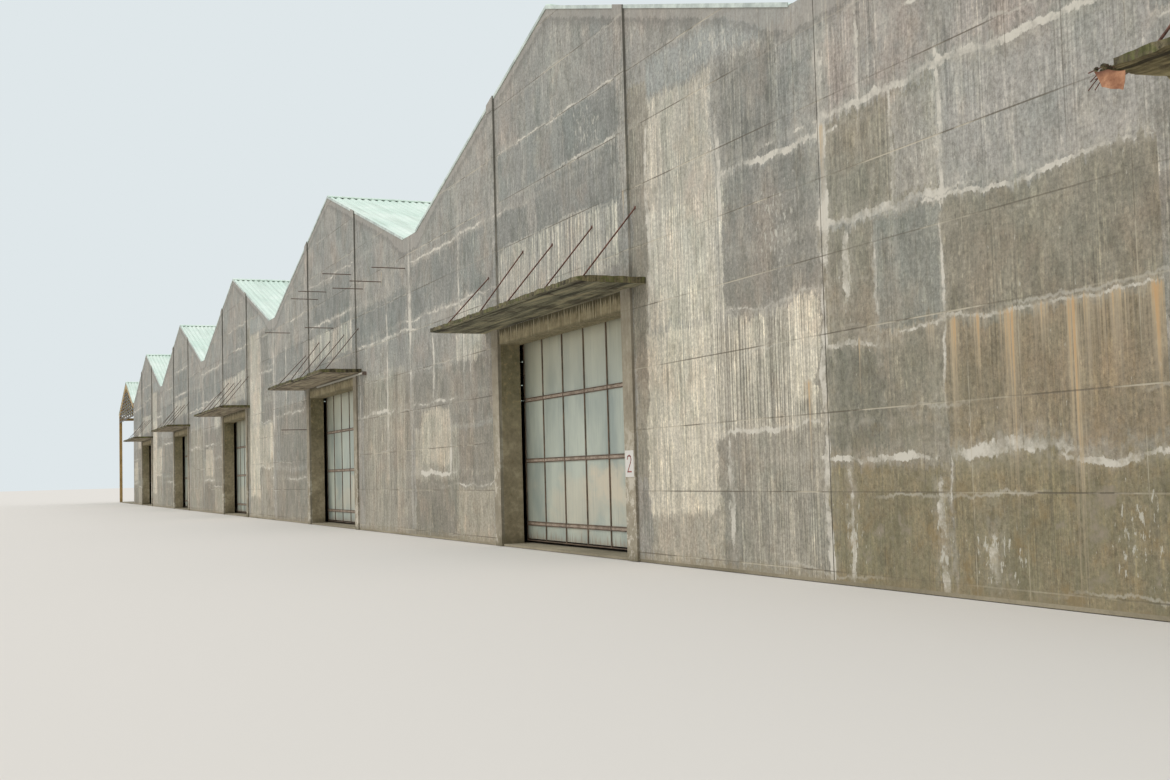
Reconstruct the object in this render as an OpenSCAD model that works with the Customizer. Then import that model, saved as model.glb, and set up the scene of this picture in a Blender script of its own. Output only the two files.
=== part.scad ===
// Row of six saw-tooth warehouse bays with an open end bay, at one tenth of full size.
// Lengths are millimetres of the model, so 100 here is one metre of the real building.
// The front wall faces -Y, the open end bay is at the -X end, and z = 0 is the ground.

/* [Building] */
// spacing of the closed bays along the front
bay_pitch = 2100; // [1800:10:2400]
// closed bays, one doorway in each
bays = 6; // [6:1:6]
// ridge and doorway right of the bay's middle
door_shift = 28; // [0:1:40]
// width of the open bay at the far end
end_bay = 1460; // [1200:10:1800]
// outside of front wall to outside of rear wall
depth = 4200; // [3600:20:4800]
// ground to the flat wall top at a valley
eave_h = 864; // [800:1:900]
// rise from the flat wall top to a closed bay's ridge
rise = 314; // [280:1:360]
// rise from the flat wall top to the open bay's ridge
end_rise = 228; // [180:1:260]
// wall joint at a valley to the edge of the roof sheets
valley_half = 65; // [50:1:80]
// concrete floor above the ground outside
slab_t = 5; // [4:0.5:8]

/* [Walls] */
// thickness of the concrete walls
wall_t = 20; // [15:1:30]
// open joint between the wall panels at a valley
seam = 2; // [1:0.5:4]
// width of a front pilaster
pilaster_w = 43; // [30:1:60]
// how far a pilaster stands in front of the wall
pilaster_out = 5; // [4:1:15]
// outer wall face to the back of the columns behind it
column_d = 51; // [40:1:70]
// pilaster stub above the underside of the roof
stub_h = 5; // [3:1:20]

/* [Doorways] */
// clear width between the pilasters
door_w = 688; // [600:2:760]
// clear height above the ground
door_h = 475; // [420:1:500]
// underside of the door head to the underside of the canopy
lintel_h = 37; // [30:1:50]

/* [Canopies] */
// length of a canopy along the wall
canopy_w = 892; // [800:2:1000]
// projection from the wall
canopy_out = 140; // [110:1:170]
// thickness of the canopy slab
canopy_t = 13; // [10:1:20]
// diameter of a hanger rod
rod_d = 3; // [2:0.5:5]
// distance of the rod feet from the wall
rod_foot = 112; // [90:1:120]
// height of the rod heads on the wall
rod_head = 659; // [620:1:700]
// outer rods past the outer edges of the pilasters
rod_side = 23; // [15:1:40]
// inner rod left of the doorway's middle
rod_left = 175; // [150:1:230]
// inner rod right of the doorway's middle
rod_right = 211; // [150:1:230]
// how much of the first canopy's left end has broken off
canopy_lost = 54; // [40:1:60]
// first canopy above the height of the others
canopy_lift = 21; // [0:1:30]

/* [Door leaves] */
// width of a sliding leaf
leaf_w = 720; // [700:2:780]
// height of the leaf top above the ground
leaf_top = 500; // [490:1:505]
// thickness of the leaf's sheet and frame
leaf_t = 5; // [4:0.5:8]
// gap between the floor and the leaf
leaf_gap = 5; // [5:0.5:10]
// gap between the column backs and the leaf
leaf_clear = 15; // [6:0.5:18]
// height of a rail strip on the leaf
rail_h = 10; // [6:0.5:14]
// foot of the leaf to the low rail
rail_low = 36; // [20:1:60]
// foot of the leaf to the middle rail
rail_mid = 184; // [150:1:220]
// foot of the leaf to the high rail
rail_high = 328; // [290:1:360]
// width of an upright strip on the leaf
stile_w = 4; // [3:0.5:8]
// how far the strips stand proud of the sheet
strip_t = 1; // [0.5:0.5:2]
// how far a leaf rolls towards +X
travel = 630; // [570:5:630]
// diameter of a hanger wheel
wheel_d = 16; // [12:1:24]
// height of the track bar
track_h = 12; // [10:1:18]
// thickness of the track bar
track_t = 4; // [3:0.5:6]

/* [Roof] */
// depth of the roof sheet profile
sheet_t = 5; // [4:0.5:7]
// roof sheet past the outer walls and posts
eave_over = 30; // [20:1:50]
// depth of a purlin
purlin_h = 12; // [10:1:18]
// width of a purlin
purlin_w = 6; // [5:0.5:10]
// ridge to the first purlin
purlin_in = 50; // [30:1:70]
// spacing of the purlins across a slope
purlin_step = 190; // [160:5:240]
// depth of a rafter
rafter_h = 30; // [24:1:40]
// width of a rafter
rafter_w = 15; // [10:1:20]
// width of each wing of a ridge cap
cap_wing = 25; // [18:1:40]
// thickness of a ridge cap
cap_t = 3; // [2:0.5:5]
// depth of the edge flashing on the wall face
rake_h = 2.5; // [2:0.5:14]
// thickness of the edge flashing
rake_t = 2; // [1.5:0.5:3]
// height of the concrete gutter along a valley
gutter_h = 74; // [60:1:90]
// thickness of the gutter's floor
gutter_floor = 12; // [8:1:16]
// thickness of the gutter's sides
gutter_side = 10; // [6:1:14]
// how far the roof sheets reach over the gutter
sheet_lap = 4; // [2:0.5:8]
// gap left where roof pieces are bolted together
fit_gap = 0.1; // [0.1:0.1:0.3]

/* [Frame inside] */
// side of a square valley column
column_w = 60; // [50:1:70]
// rows of inner columns between front and rear
rows = 4; // [4:1:4]

/* [Open end bay] */
// side of a square steel post
post_w = 25; // [18:1:35]
// depth of the beam on the outer posts
end_beam_h = 24; // [18:1:32]
// flat wall top to the underside of the lowest louvre blade
louvre_drop = 110; // [90:1:130]
// spacing of the louvre blades
blade_gap = 28; // [20:1:34]
// height of a louvre blade
blade_h = 15; // [12:1:18]
// thickness of a louvre blade
blade_t = 2; // [1.5:0.5:3]
// width of a louvre upright
mull_w = 8; // [6:0.5:12]

/* [Fittings] */
// length of a bare bracket arm on the third bay
arm_len = 100; // [70:1:130]
// diameter of a bracket arm
arm_d = 3; // [2:0.5:5]
// width of the number plate
plate_w = 36; // [28:1:42]
// height of the number plate
plate_h = 50; // [40:1:60]
// thickness of the number plate
plate_t = 1; // [1:0.5:2]
// height of the number plate's middle
plate_z = 182; // [150:1:200]

/* [Hidden] */
$fn = 24;
length = bays * bay_pitch + end_bay;
front = -depth / 2;
rear = depth / 2;
apex_h = eave_h + rise;
end_x = -length / 2 + end_bay / 2;
end_apex_h = eave_h + end_rise;
end_slope = end_rise / (end_bay / 2 - valley_half);
lintel_top = door_h + lintel_h;
pilaster_x = door_w / 2 + pilaster_w;
row_step = depth / (rows + 1);
column_top = eave_h - gutter_h;
gutter_in = valley_half + sheet_lap;
gutter_out = gutter_in + gutter_side;
leaf_y = front + column_d + leaf_clear;
track_y = leaf_y - track_t;
track_z = leaf_top + 20;
wheel_z = track_z + track_h + wheel_d / 2 + 0.3;
wheel_x = leaf_w / 2 - 60;
strap_w = 12;
strap_t = 3;
louvre_z = eave_h - louvre_drop;
end_beam_top = end_apex_h - end_slope * end_bay / 2 - purlin_h - rafter_h;
// hanger rods of each canopy, from the middle of the doorway
rod_xs = [-pilaster_x - rod_side, -rod_left, 0, rod_right, pilaster_x + rod_side];
rod_lifts = [-15, 12, -1, 0, 1];
// bare arms on the third bay, place and height
arms = [[338, 850], [704, 774], [-49, 843], [481, 782], [971, 776], [51, 701], [-395, 359], [-703, 763], [-182, 833]];

// height of canopy i, and its rod j, which on the broken canopy stands before the pilaster
function canopy_z(i) = lintel_top + (i == 0 ? canopy_lift : 0);
function rod_x(i, j) = i == 0 && j == 0 ? pilaster_w * 0.72 - pilaster_x : rod_xs[j];
function rod_end(x) = front - (abs(x) > door_w / 2 && abs(x) < pilaster_x ? pilaster_out : 0);
// middle of doorway i, counted from the +X end, and the wall joint left of it
function door_x(i) = length / 2 - bay_pitch / 2 - i * bay_pitch + door_shift;
function seam_x(i) = length / 2 - (i + 1) * bay_pitch;
// ridge to the wall joint on side s, which is -1 or 1, to the sheet's edge, and the slope there
function half(s) = bay_pitch / 2 - s * door_shift;
function edge(s) = half(s) - valley_half;
function fall(s) = rise / edge(s);
// underside of the roof sheets, x from the ridge of a closed or the open bay
function under(s, x) = apex_h - x * fall(s);
function end_under(x) = end_apex_h - x * end_slope;
// y of inner column row r
function row_y(r) = front + row_step * (r + 1);

// upright plate: outline in x and z, from y0 to y1
module plate(points, y0, y1) {
    translate([0, y1, 0])
        rotate([90, 0, 0])
            linear_extrude(height = y1 - y0)
                polygon(points);
}

// box from corner a to corner b
module block(a, b) {
    translate(a)
        cube(b - a);
}

// concrete floor over the whole plan
module floor_slab() {
    color("gray")
        block([-length / 2, front, 0], [length / 2, rear, slab_t]);
}

// wall left of each doorway, from the valley joint to the pilaster
module wall_left_panels() {
    color("silver")
        for (i = [0 : bays - 1]) {
            a = -half(-1) + (i == bays - 1 ? -wall_t / 2 : seam / 2);
            translate([door_x(i), 0, 0])
                plate([[a, slab_t], [-pilaster_x, slab_t], [-pilaster_x, under(-1, pilaster_x)],
                    [-edge(-1), eave_h], [a, eave_h]], front, front + wall_t);
        }
}

// wall right of each doorway
module wall_right_panels() {
    color("silver")
        for (i = [0 : bays - 1]) {
            b = half(1) - (i == 0 ? 0 : seam / 2);
            translate([door_x(i), 0, 0])
                if (i == 0)
                    plate([[pilaster_x, slab_t], [b, slab_t], [b, under(1, b)],
                        [pilaster_x, under(1, pilaster_x)]], front, front + wall_t);
                else
                    plate([[pilaster_x, slab_t], [b, slab_t], [b, eave_h], [edge(1), eave_h],
                        [pilaster_x, under(1, pilaster_x)]], front, front + wall_t);
        }
}

// gable wall over each doorway
module walls_over_doors() {
    a = door_w / 2;
    color("silver")
        for (i = [0 : bays - 1])
            translate([door_x(i), 0, 0])
                plate([[-a, lintel_top], [a, lintel_top], [a, under(1, a)], [0, apex_h], [-a, under(-1, a)]],
                    front, front + wall_t);
}

// head beam across each doorway
module door_lintels() {
    color("tan")
        for (i = [0 : bays - 1])
            block([door_x(i) - door_w / 2, front, door_h], [door_x(i) + door_w / 2, front + column_d, lintel_top]);
}

// flat face of a pilaster on side s, from z0 to h above the underside of the roof
module pilaster_face(s, z0, h, y0, y1) {
    a = door_w / 2;
    b = pilaster_x;
    mirror([s < 0 ? 1 : 0, 0, 0])
        plate([[a, z0], [b, z0], [b, under(s, b) + h], [a, under(s, a) + h]], y0, y1);
}

// two pilasters a bay, each with the column behind it
module pilasters() {
    color("darkgray")
        for (i = [0 : bays - 1], s = [-1, 1])
            translate([door_x(i), 0, 0]) {
                pilaster_face(s, slab_t, 0, front - 0.01, front + column_d);
                pilaster_face(s, 0, stub_h, front - pilaster_out, front);
            }
}

// canopy slab in plan, the first and third with their broken edges
module canopy_plan(i) {
    w = canopy_w / 2;
    o = canopy_out;
    if (i == 0)
        translate([canopy_lost - w, 0])
            polygon([[0, 0], [-5, -o * 0.3], [4, -o * 0.45], [-1, -o * 0.7], [8, -o * 0.86], [14, -o],
                [2 * w - canopy_lost, -o], [2 * w - canopy_lost, 0]]);
    else if (i == 2)
        polygon([[-w, 0], [-w, -o], [-40, -o], [-18, -o + 9], [60, -o + 6], [130, -o + 14], [215, -o + 5],
            [260, -o], [w, -o], [w, 0]]);
    else
        polygon([[-w, 0], [-w, -o], [w, -o], [w, 0]]);
}

module canopies() {
    color("olive")
        for (i = [0 : bays - 1])
            translate([door_x(i), front, canopy_z(i)])
                difference() {
                    linear_extrude(height = canopy_t)
                        canopy_plan(i);
                    for (s = [-1, 1])
                        translate([s * (door_w / 2 + pilaster_w / 2), 0, canopy_t / 2])
                            cube([pilaster_w, 2 * pilaster_out, 2 * canopy_t], center = true);
                }
}

// hanger rods from the canopy tops up to the wall
module canopy_rods() {
    color("sienna")
        for (i = [0 : bays - 1], j = [0 : 4]) {
            z0 = canopy_z(i) + canopy_t;
            x = door_x(i) + rod_x(i, j);
            up = rod_head + rod_lifts[j] - lintel_top - canopy_t;
            intersection() {
                translate([x, front - rod_foot, z0])
                    rotate([-atan2(rod_foot, up), 0, 0])
                        translate([0, 0, -10])
                            cylinder(d = rod_d, h = norm([rod_foot, up]) + 20);
                block([x - 10, front - canopy_out, z0], [x + 10, rod_end(rod_x(i, j)), z0 + up + 20]);
            }
        }
}

// bare bracket arms left in the wall of the third bay
module wall_arms() {
    color("dimgray")
        for (a = arms)
            translate([door_x(2) + a[0], front, a[1]])
                rotate([90, 0, 0])
                    cylinder(d = arm_d, h = arm_len);
}

// number plate on the pilaster right of the second doorway
module number_plate() {
    x = door_x(1) + door_w / 2 + pilaster_w / 2;
    y = front - pilaster_out;
    color("white")
        block([x - plate_w / 2, y - plate_t, plate_z - plate_h / 2], [x + plate_w / 2, y, plate_z + plate_h / 2]);
}

// plain gabled rear wall, one panel a bay
module rear_walls() {
    color("silver")
        for (i = [0 : bays - 1]) {
            a = -half(-1) + (i == bays - 1 ? -wall_t / 2 : seam / 2);
            b = half(1) - (i == 0 ? 0 : seam / 2);
            translate([door_x(i), 0, 0])
                if (i == 0)
                    plate([[a, slab_t], [b, slab_t], [b, under(1, b)], [0, apex_h], [-edge(-1), eave_h],
                        [a, eave_h]], rear - wall_t, rear);
                else
                    plate([[a, slab_t], [b, slab_t], [b, eave_h], [edge(1), eave_h], [0, apex_h],
                        [-edge(-1), eave_h], [a, eave_h]], rear - wall_t, rear);
        }
}

module rear_pilasters() {
    color("darkgray")
        for (i = [0 : bays - 1], s = [-1, 1])
            translate([door_x(i), 0, 0])
                pilaster_face(s, 0, stub_h, rear, rear + pilaster_out);
}

// side wall at the +X end, under the first bay's roof
module end_wall() {
    b = half(1);
    color("silver")
        translate([door_x(0), 0, 0])
            plate([[b - wall_t, slab_t], [b, slab_t], [b, under(1, b)], [b - wall_t, under(1, b - wall_t)]],
                front + wall_t, rear - wall_t);
}

// side wall between the last closed bay and the open bay
module party_wall() {
    x = seam_x(bays - 1);
    color("silver")
        block([x - wall_t / 2, front + wall_t, slab_t], [x + wall_t / 2, rear - wall_t, column_top]);
}

// columns along the valleys: rows inside, and one behind each wall joint
module valley_columns() {
    color("gray")
        for (i = [0 : bays - 2])
            translate([seam_x(i), 0, 0]) {
                for (r = [0 : rows - 1])
                    block([-column_w / 2, row_y(r) - column_w / 2, slab_t],
                        [column_w / 2, row_y(r) + column_w / 2, column_top]);
                block([-column_w / 2, front + wall_t, slab_t], [column_w / 2, front + column_d, column_top]);
                block([-column_w / 2, rear - column_d, slab_t], [column_w / 2, rear - wall_t, column_top]);
            }
}

// floors of the concrete gutters along the valleys, on the columns and on the party wall
module gutter_floors() {
    color("gray")
        for (i = [0 : bays - 1])
            block([seam_x(i) - gutter_out, front + wall_t, column_top],
                [seam_x(i) + gutter_out, rear - wall_t, column_top + gutter_floor]);
}

// upright sides of the gutters
module gutter_sides() {
    color("gray")
        for (i = [0 : bays - 1], s = [-1, 1])
            translate([seam_x(i) + s * (gutter_in + gutter_out) / 2, 0, 0])
                block([-gutter_side / 2, front + wall_t, column_top + gutter_floor],
                    [gutter_side / 2, rear - wall_t, eave_h]);
}

// one purlin at x on side s, top and bottom on the slope
module purlin(s, x, z, k, y0, y1) {
    a = x - purlin_w / 2;
    b = x + purlin_w / 2;
    top = z - fit_gap;
    foot = z - purlin_h + fit_gap;
    mirror([s < 0 ? 1 : 0, 0, 0])
        plate([[a, foot + k * purlin_w / 2], [b, foot - k * purlin_w / 2],
            [b, top - k * purlin_w / 2], [a, top + k * purlin_w / 2]], y0, y1);
}

module purlins() {
    color("lightsteelblue") {
        for (i = [0 : bays - 1], s = [-1, 1], x = [purlin_in : purlin_step : half(s) - gutter_out - purlin_w])
            translate([door_x(i), 0, 0])
                purlin(s, x, under(s, x), fall(s), front + wall_t, rear - wall_t);
        for (s = [-1, 1], x = [purlin_in : purlin_step : end_bay / 2 - gutter_out - purlin_w])
            translate([end_x, 0, 0])
                purlin(s, x, end_under(x), end_slope, front, rear);
    }
}

// one rafter from the ridge down to x = b, under the purlins, on the +X side
module rafter(b, z0, k, y) {
    top = z0 - purlin_h;
    plate([[0, top - rafter_h], [b, top - rafter_h - k * b], [b, top - k * b], [0, top]],
        y - rafter_w / 2, y + rafter_w / 2);
}

module rafters_left() {
    color("slategray")
        for (i = [0 : bays - 1], r = [0 : rows - 1])
            translate([door_x(i), 0, 0])
                mirror([1, 0, 0])
                    rafter(half(-1) - gutter_out - fit_gap, apex_h, fall(-1), row_y(r));
}

module rafters_right() {
    color("slategray")
        for (i = [0 : bays - 1], r = [0 : rows - 1])
            translate([door_x(i), 0, 0])
                rafter(half(1) - (i == 0 ? wall_t : gutter_out) - fit_gap, apex_h, fall(1), row_y(r));
}

// one roof slope from the ridge to x = b, on the +X side
module sheet(b, z0, k) {
    plate([[0, z0], [b, z0 - k * b], [b, z0 - k * b + sheet_t], [0, z0 + sheet_t]], front, rear);
}

module roof_sheets_left() {
    color("aquamarine") {
        for (i = [0 : bays - 1])
            translate([door_x(i), 0, 0])
                mirror([1, 0, 0])
                    sheet(edge(-1), apex_h, fall(-1));
        translate([end_x, 0, 0])
            mirror([1, 0, 0])
                sheet(end_bay / 2 + eave_over, end_apex_h, end_slope);
    }
}

module roof_sheets_right() {
    color("aquamarine") {
        for (i = [0 : bays - 1])
            translate([door_x(i), 0, 0])
                sheet(i == 0 ? half(1) + eave_over : edge(1), apex_h, fall(1));
        translate([end_x, 0, 0])
            sheet(end_bay / 2 - valley_half, end_apex_h, end_slope);
    }
}

// one ridge cap over both slopes
module cap(z0, k, m) {
    w = cap_wing;
    plate([[-w, z0 - k * w], [0, z0], [w, z0 - m * w], [w, z0 - m * w + cap_t], [0, z0 + cap_t],
        [-w, z0 - k * w + cap_t]], front, rear);
}

module ridge_caps() {
    color("aquamarine") {
        for (i = [0 : bays - 1])
            translate([door_x(i), 0, 0])
                cap(apex_h + sheet_t + fit_gap, fall(-1), fall(1));
        translate([end_x, 0, 0])
            cap(end_apex_h + sheet_t + fit_gap, end_slope, end_slope);
    }
}

// edge flashing from x = a to x = b on the +X slope, in front of y and behind it at the rear
module rake(a, b, z0, k, y) {
    plate([[a, z0 - k * a - rake_h], [b, z0 - k * b - rake_h], [b, z0 - k * b + sheet_t],
        [a, z0 - k * a + sheet_t]], y - rake_t / 2, y + rake_t / 2);
}

module rake_flashings() {
    color("whitesmoke")
        for (y = [front - rake_t / 2, rear + rake_t / 2]) {
            for (i = [0 : bays - 1], s = [-1, 1])
                translate([door_x(i), 0, 0])
                    mirror([s < 0 ? 1 : 0, 0, 0]) {
                        rake(0.3, door_w / 2, apex_h, fall(s), y);
                        rake(pilaster_x, i == 0 && s == 1 ? half(1) + eave_over : edge(s), apex_h, fall(s), y);
                    }
            for (s = [-1, 1])
                translate([end_x, 0, 0])
                    mirror([s < 0 ? 1 : 0, 0, 0])
                        rake(0.3, end_bay / 2 + (s < 0 ? eave_over : -valley_half), end_apex_h, end_slope, y);
        }
}

// rows of the open bay's frames, from front to rear
function frame_y(r) = front + rafter_w / 2 + r * (depth - rafter_w) / (rows + 1);

// outer posts of the open bay
module end_bay_posts() {
    color("goldenrod")
        for (r = [0 : rows + 1])
            block([-length / 2, r == 0 ? front : r == rows + 1 ? rear - post_w : frame_y(r) - post_w / 2, slab_t],
                [-length / 2 + post_w, r == 0 ? front + post_w : r == rows + 1 ? rear : frame_y(r) + post_w / 2,
                end_beam_top - end_beam_h]);
}

// beam on the outer posts
module end_bay_beam() {
    color("goldenrod")
        block([-length / 2, front, end_beam_top - end_beam_h], [-length / 2 + post_w, rear, end_beam_top]);
}

module end_rafters_left() {
    color("goldenrod")
        for (r = [0 : rows + 1])
            translate([end_x, 0, 0])
                mirror([1, 0, 0])
                    rafter(end_bay / 2, end_apex_h, end_slope, frame_y(r));
}

module end_rafters_right() {
    color("goldenrod")
        for (r = [0 : rows + 1])
            translate([end_x, 0, 0])
                rafter(end_bay / 2 - gutter_out - fit_gap, end_apex_h, end_slope, frame_y(r));
}

// louvre blades in both gables of the open bay, cut to the rafters
module louvre_blades() {
    top = end_apex_h - purlin_h - rafter_h;
    color("saddlebrown")
        for (y = [front, rear - blade_t], z = [louvre_z : blade_gap : top - blade_gap * 2]) {
            b = (top - z - blade_h) / end_slope;
            block([end_x - min(b, end_bay / 2 - post_w), y, z],
                [end_x + min(b, end_bay / 2 - wall_t / 2), y + blade_t, z + blade_h]);
        }
}

// uprights behind the blades, hung from the rafters
module louvre_uprights() {
    top = end_apex_h - purlin_h - rafter_h;
    n = 3;
    step = end_bay / 2 / (n + 1);
    color("goldenrod")
        for (y = [front + blade_t, rear - blade_t - mull_w], j = [-n : n]) {
            a = abs(j) * step;
            translate([end_x, 0, 0])
                mirror([j < 0 ? 1 : 0, 0, 0])
                    if (a == 0)
                        plate([[-mull_w / 2, louvre_z], [mull_w / 2, louvre_z],
                            [mull_w / 2, top - end_slope * mull_w / 2], [0, top],
                            [-mull_w / 2, top - end_slope * mull_w / 2]], y, y + mull_w);
                    else
                        plate([[a - mull_w / 2, louvre_z], [a + mull_w / 2, louvre_z],
                            [a + mull_w / 2, top - end_slope * (a + mull_w / 2)],
                            [a - mull_w / 2, top - end_slope * (a - mull_w / 2)]], y, y + mull_w);
        }
}

// track bar of one leaf with its brackets and end stops
module track() {
    a = -leaf_w / 2 - 5;
    b = leaf_w / 2 + travel + 5;
    stop_a = -wheel_x - wheel_d / 2 - 10;
    stop_b = wheel_x + travel + wheel_d / 2 + 6;
    block([a, track_y, track_z], [b, track_y + track_t, track_z + track_h]);
    for (x = [-pilaster_x + pilaster_w / 2, pilaster_x - pilaster_w / 2])
        block([x - 3, front + column_d, track_z], [x + 3, track_y, track_z + 10]);
    for (x = [-rod_left, rod_right, pilaster_x + travel * 0.3, pilaster_x + travel * 0.62, b - 12])
        block([x - 3, front + wall_t, track_z], [x + 3, track_y, track_z + 10]);
    for (x = [stop_a, stop_b])
        block([x, track_y, track_z + track_h], [x + 4, track_y + track_t, track_z + track_h + 12]);
}

module door_tracks() {
    color("dimgray")
        for (i = [0 : bays - 1])
            translate([door_x(i), 0, 0])
                track();
}

// sliding leaf with its strips, straps and wheels
module leaf(i) {
    w = leaf_w / 2;
    z0 = slab_t + leaf_gap;
    color("lightblue")
        translate([door_x(i), 0, 0]) {
            block([-w, leaf_y, z0], [w, leaf_y + leaf_t, leaf_top]);
            for (j = [0 : 6])
                translate([-w + j * (leaf_w - stile_w) / 6, leaf_y - strip_t, z0])
                    cube([stile_w, strip_t + 1, leaf_top - z0]);
            for (z = [z0, z0 + rail_low, z0 + rail_mid, z0 + rail_high, leaf_top - rail_h])
                translate([-w, leaf_y - strip_t, z])
                    cube([leaf_w, strip_t + 1, rail_h]);
            for (s = [-1, 1])
                translate([s * wheel_x, 0, 0]) {
                    block([-strap_w / 2, leaf_y + leaf_t, leaf_top - 60],
                        [strap_w / 2, leaf_y + leaf_t + strap_t, wheel_z + 5]);
                    translate([0, leaf_y + leaf_t + 1, wheel_z])
                        rotate([90, 0, 0])
                            cylinder(d = 5, h = leaf_t + 1 + track_t - 1);
                    translate([0, track_y + track_t - 0.5, wheel_z])
                        rotate([90, 0, 0])
                            cylinder(d = wheel_d, h = track_t - 1);
                }
        }
}

module door_leaf_1() {
    leaf(0);
}

module door_leaf_2() {
    leaf(1);
}

module door_leaf_3() {
    leaf(2);
}

module door_leaf_4() {
    leaf(3);
}

module door_leaf_5() {
    leaf(4);
}

module door_leaf_6() {
    leaf(5);
}

floor_slab();
wall_left_panels();
wall_right_panels();
walls_over_doors();
door_lintels();
pilasters();
canopies();
canopy_rods();
wall_arms();
number_plate();
rear_walls();
rear_pilasters();
end_wall();
party_wall();
valley_columns();
gutter_floors();
gutter_sides();
purlins();
rafters_left();
rafters_right();
roof_sheets_left();
roof_sheets_right();
ridge_caps();
rake_flashings();
end_bay_posts();
end_bay_beam();
end_rafters_left();
end_rafters_right();
louvre_blades();
louvre_uprights();
door_tracks();
door_leaf_1();
door_leaf_2();
door_leaf_3();
door_leaf_4();
door_leaf_5();
door_leaf_6();
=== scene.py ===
"""Row of concrete warehouse bays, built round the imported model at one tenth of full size."""

import math

import bmesh
import bpy
import numpy as np
from mathutils import Matrix, Vector, noise


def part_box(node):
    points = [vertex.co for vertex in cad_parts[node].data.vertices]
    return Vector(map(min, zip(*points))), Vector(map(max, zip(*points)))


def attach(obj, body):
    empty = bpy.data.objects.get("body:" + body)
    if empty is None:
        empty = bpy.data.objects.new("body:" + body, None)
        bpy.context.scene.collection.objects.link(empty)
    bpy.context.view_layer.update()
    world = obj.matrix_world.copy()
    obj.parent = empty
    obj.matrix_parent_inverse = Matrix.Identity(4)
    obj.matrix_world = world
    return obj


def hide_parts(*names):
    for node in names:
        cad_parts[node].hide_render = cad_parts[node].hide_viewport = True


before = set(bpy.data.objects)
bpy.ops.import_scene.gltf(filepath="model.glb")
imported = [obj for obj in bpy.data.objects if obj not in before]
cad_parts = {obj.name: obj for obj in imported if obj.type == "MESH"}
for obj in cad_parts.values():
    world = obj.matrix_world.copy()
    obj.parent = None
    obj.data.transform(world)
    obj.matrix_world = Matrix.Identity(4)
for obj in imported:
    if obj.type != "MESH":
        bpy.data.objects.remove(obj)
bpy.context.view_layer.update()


# Walls.
# They are concrete cast on the spot in lifts of 1.14 m behind boards 0.92 m wide. Years of rain have left
# dark damp panels, pale lime bands along the lifts, cream wash under the roof edges and rust below fixings.
# In the model's metres: the middles of the doorways from the first bay on, and the wall's front face.
DOORS = [6.008 - 2.1 * bay for bay in range(6)]
FRONT = -2.1
# In real metres: a bay, the second doorway's middle, how far right of it the second bay ends, the lifts and
# boards of the concrete, the first joint's height, and the roof edge over doorways and at valleys.
BAY, DOOR_2, BAY_END = 21.0, 39.08, 10.22
LIFT, BOARD, FIRST_JOINT = 1.137, 0.92, 0.17
RIDGE_TALL, VALLEY_TALL = 11.78, 8.64


def linear(hex_value):
    parts = [int(hex_value[place : place + 2], 16) / 255 for place in (1, 3, 5)]
    return [part / 12.92 if part <= 0.04045 else ((part + 0.055) / 1.055) ** 2.4 for part in parts] + [1]


def add(tree, kind, feeds, **settings):
    """Adds one node. feeds gives its inputs: values, sockets, or nodes whose first output is meant."""
    node = tree.nodes.new(kind)
    for name, value in settings.items():
        setattr(node, name, value)
    for place, value in feeds.items():
        if isinstance(value, bpy.types.Node):
            value = next(socket for socket in value.outputs if socket.enabled)
        if isinstance(value, bpy.types.NodeSocket):
            tree.links.new(value, node.inputs[place])
        else:
            node.inputs[place].default_value = value
    return node


def finish_material(name):
    """An empty material, with its node tree."""
    material = bpy.data.materials.new(name)
    material.use_nodes = True
    material.node_tree.nodes.clear()
    return material, material.node_tree


def real_metres(tree):
    """The place on the real building in metres, for patterns whose sizes are real ones."""
    spot = add(tree, "ShaderNodeTexCoord", {}).outputs["Object"]
    return add(tree, "ShaderNodeVectorMath", {0: spot, 1: (10, 10, 10)}, operation="MULTIPLY")


def give_finish(material, *names):
    """Finishes these nodes of the model in one material."""
    for name in names:
        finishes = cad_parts[name].data.materials
        finishes.clear()
        finishes.append(material)


# Cast concrete: chalky and matt, so roughness is high and the gloss low.
cast, tree = finish_material("lift_cast_wall_concrete")
metres = real_metres(tree)
axes = add(tree, "ShaderNodeSeparateXYZ", {0: metres})
facing = add(tree, "ShaderNodeSeparateXYZ",
             {0: add(tree, "ShaderNodeNewGeometry", {}).outputs["True Normal"]})
along = add(tree, "ShaderNodeMath", {0: axes.outputs["X"], 1: DOOR_2}, operation="SUBTRACT")
# The rear wall and the side walls take the same stains from other places along the row.
behind = add(tree, "ShaderNodeMath", {0: axes.outputs["Y"], 1: 20.5}, operation="GREATER_THAN")
turned = add(tree, "ShaderNodeMath", {0: along, 1: -1.0, 2: -64.0}, operation="MULTIPLY_ADD")
along = add(tree, "ShaderNodeMix", {0: behind, 2: along, 3: turned})
sideways = add(tree, "ShaderNodeMath", {0: facing.outputs["X"]}, operation="ABSOLUTE")
sideways = add(tree, "ShaderNodeMath", {0: sideways, 1: 0.5}, operation="GREATER_THAN")
across = add(tree, "ShaderNodeMath", {0: axes.outputs["Y"], 1: -8.0}, operation="ADD")
along = add(tree, "ShaderNodeMix", {0: sideways, 2: along, 3: across})
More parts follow.
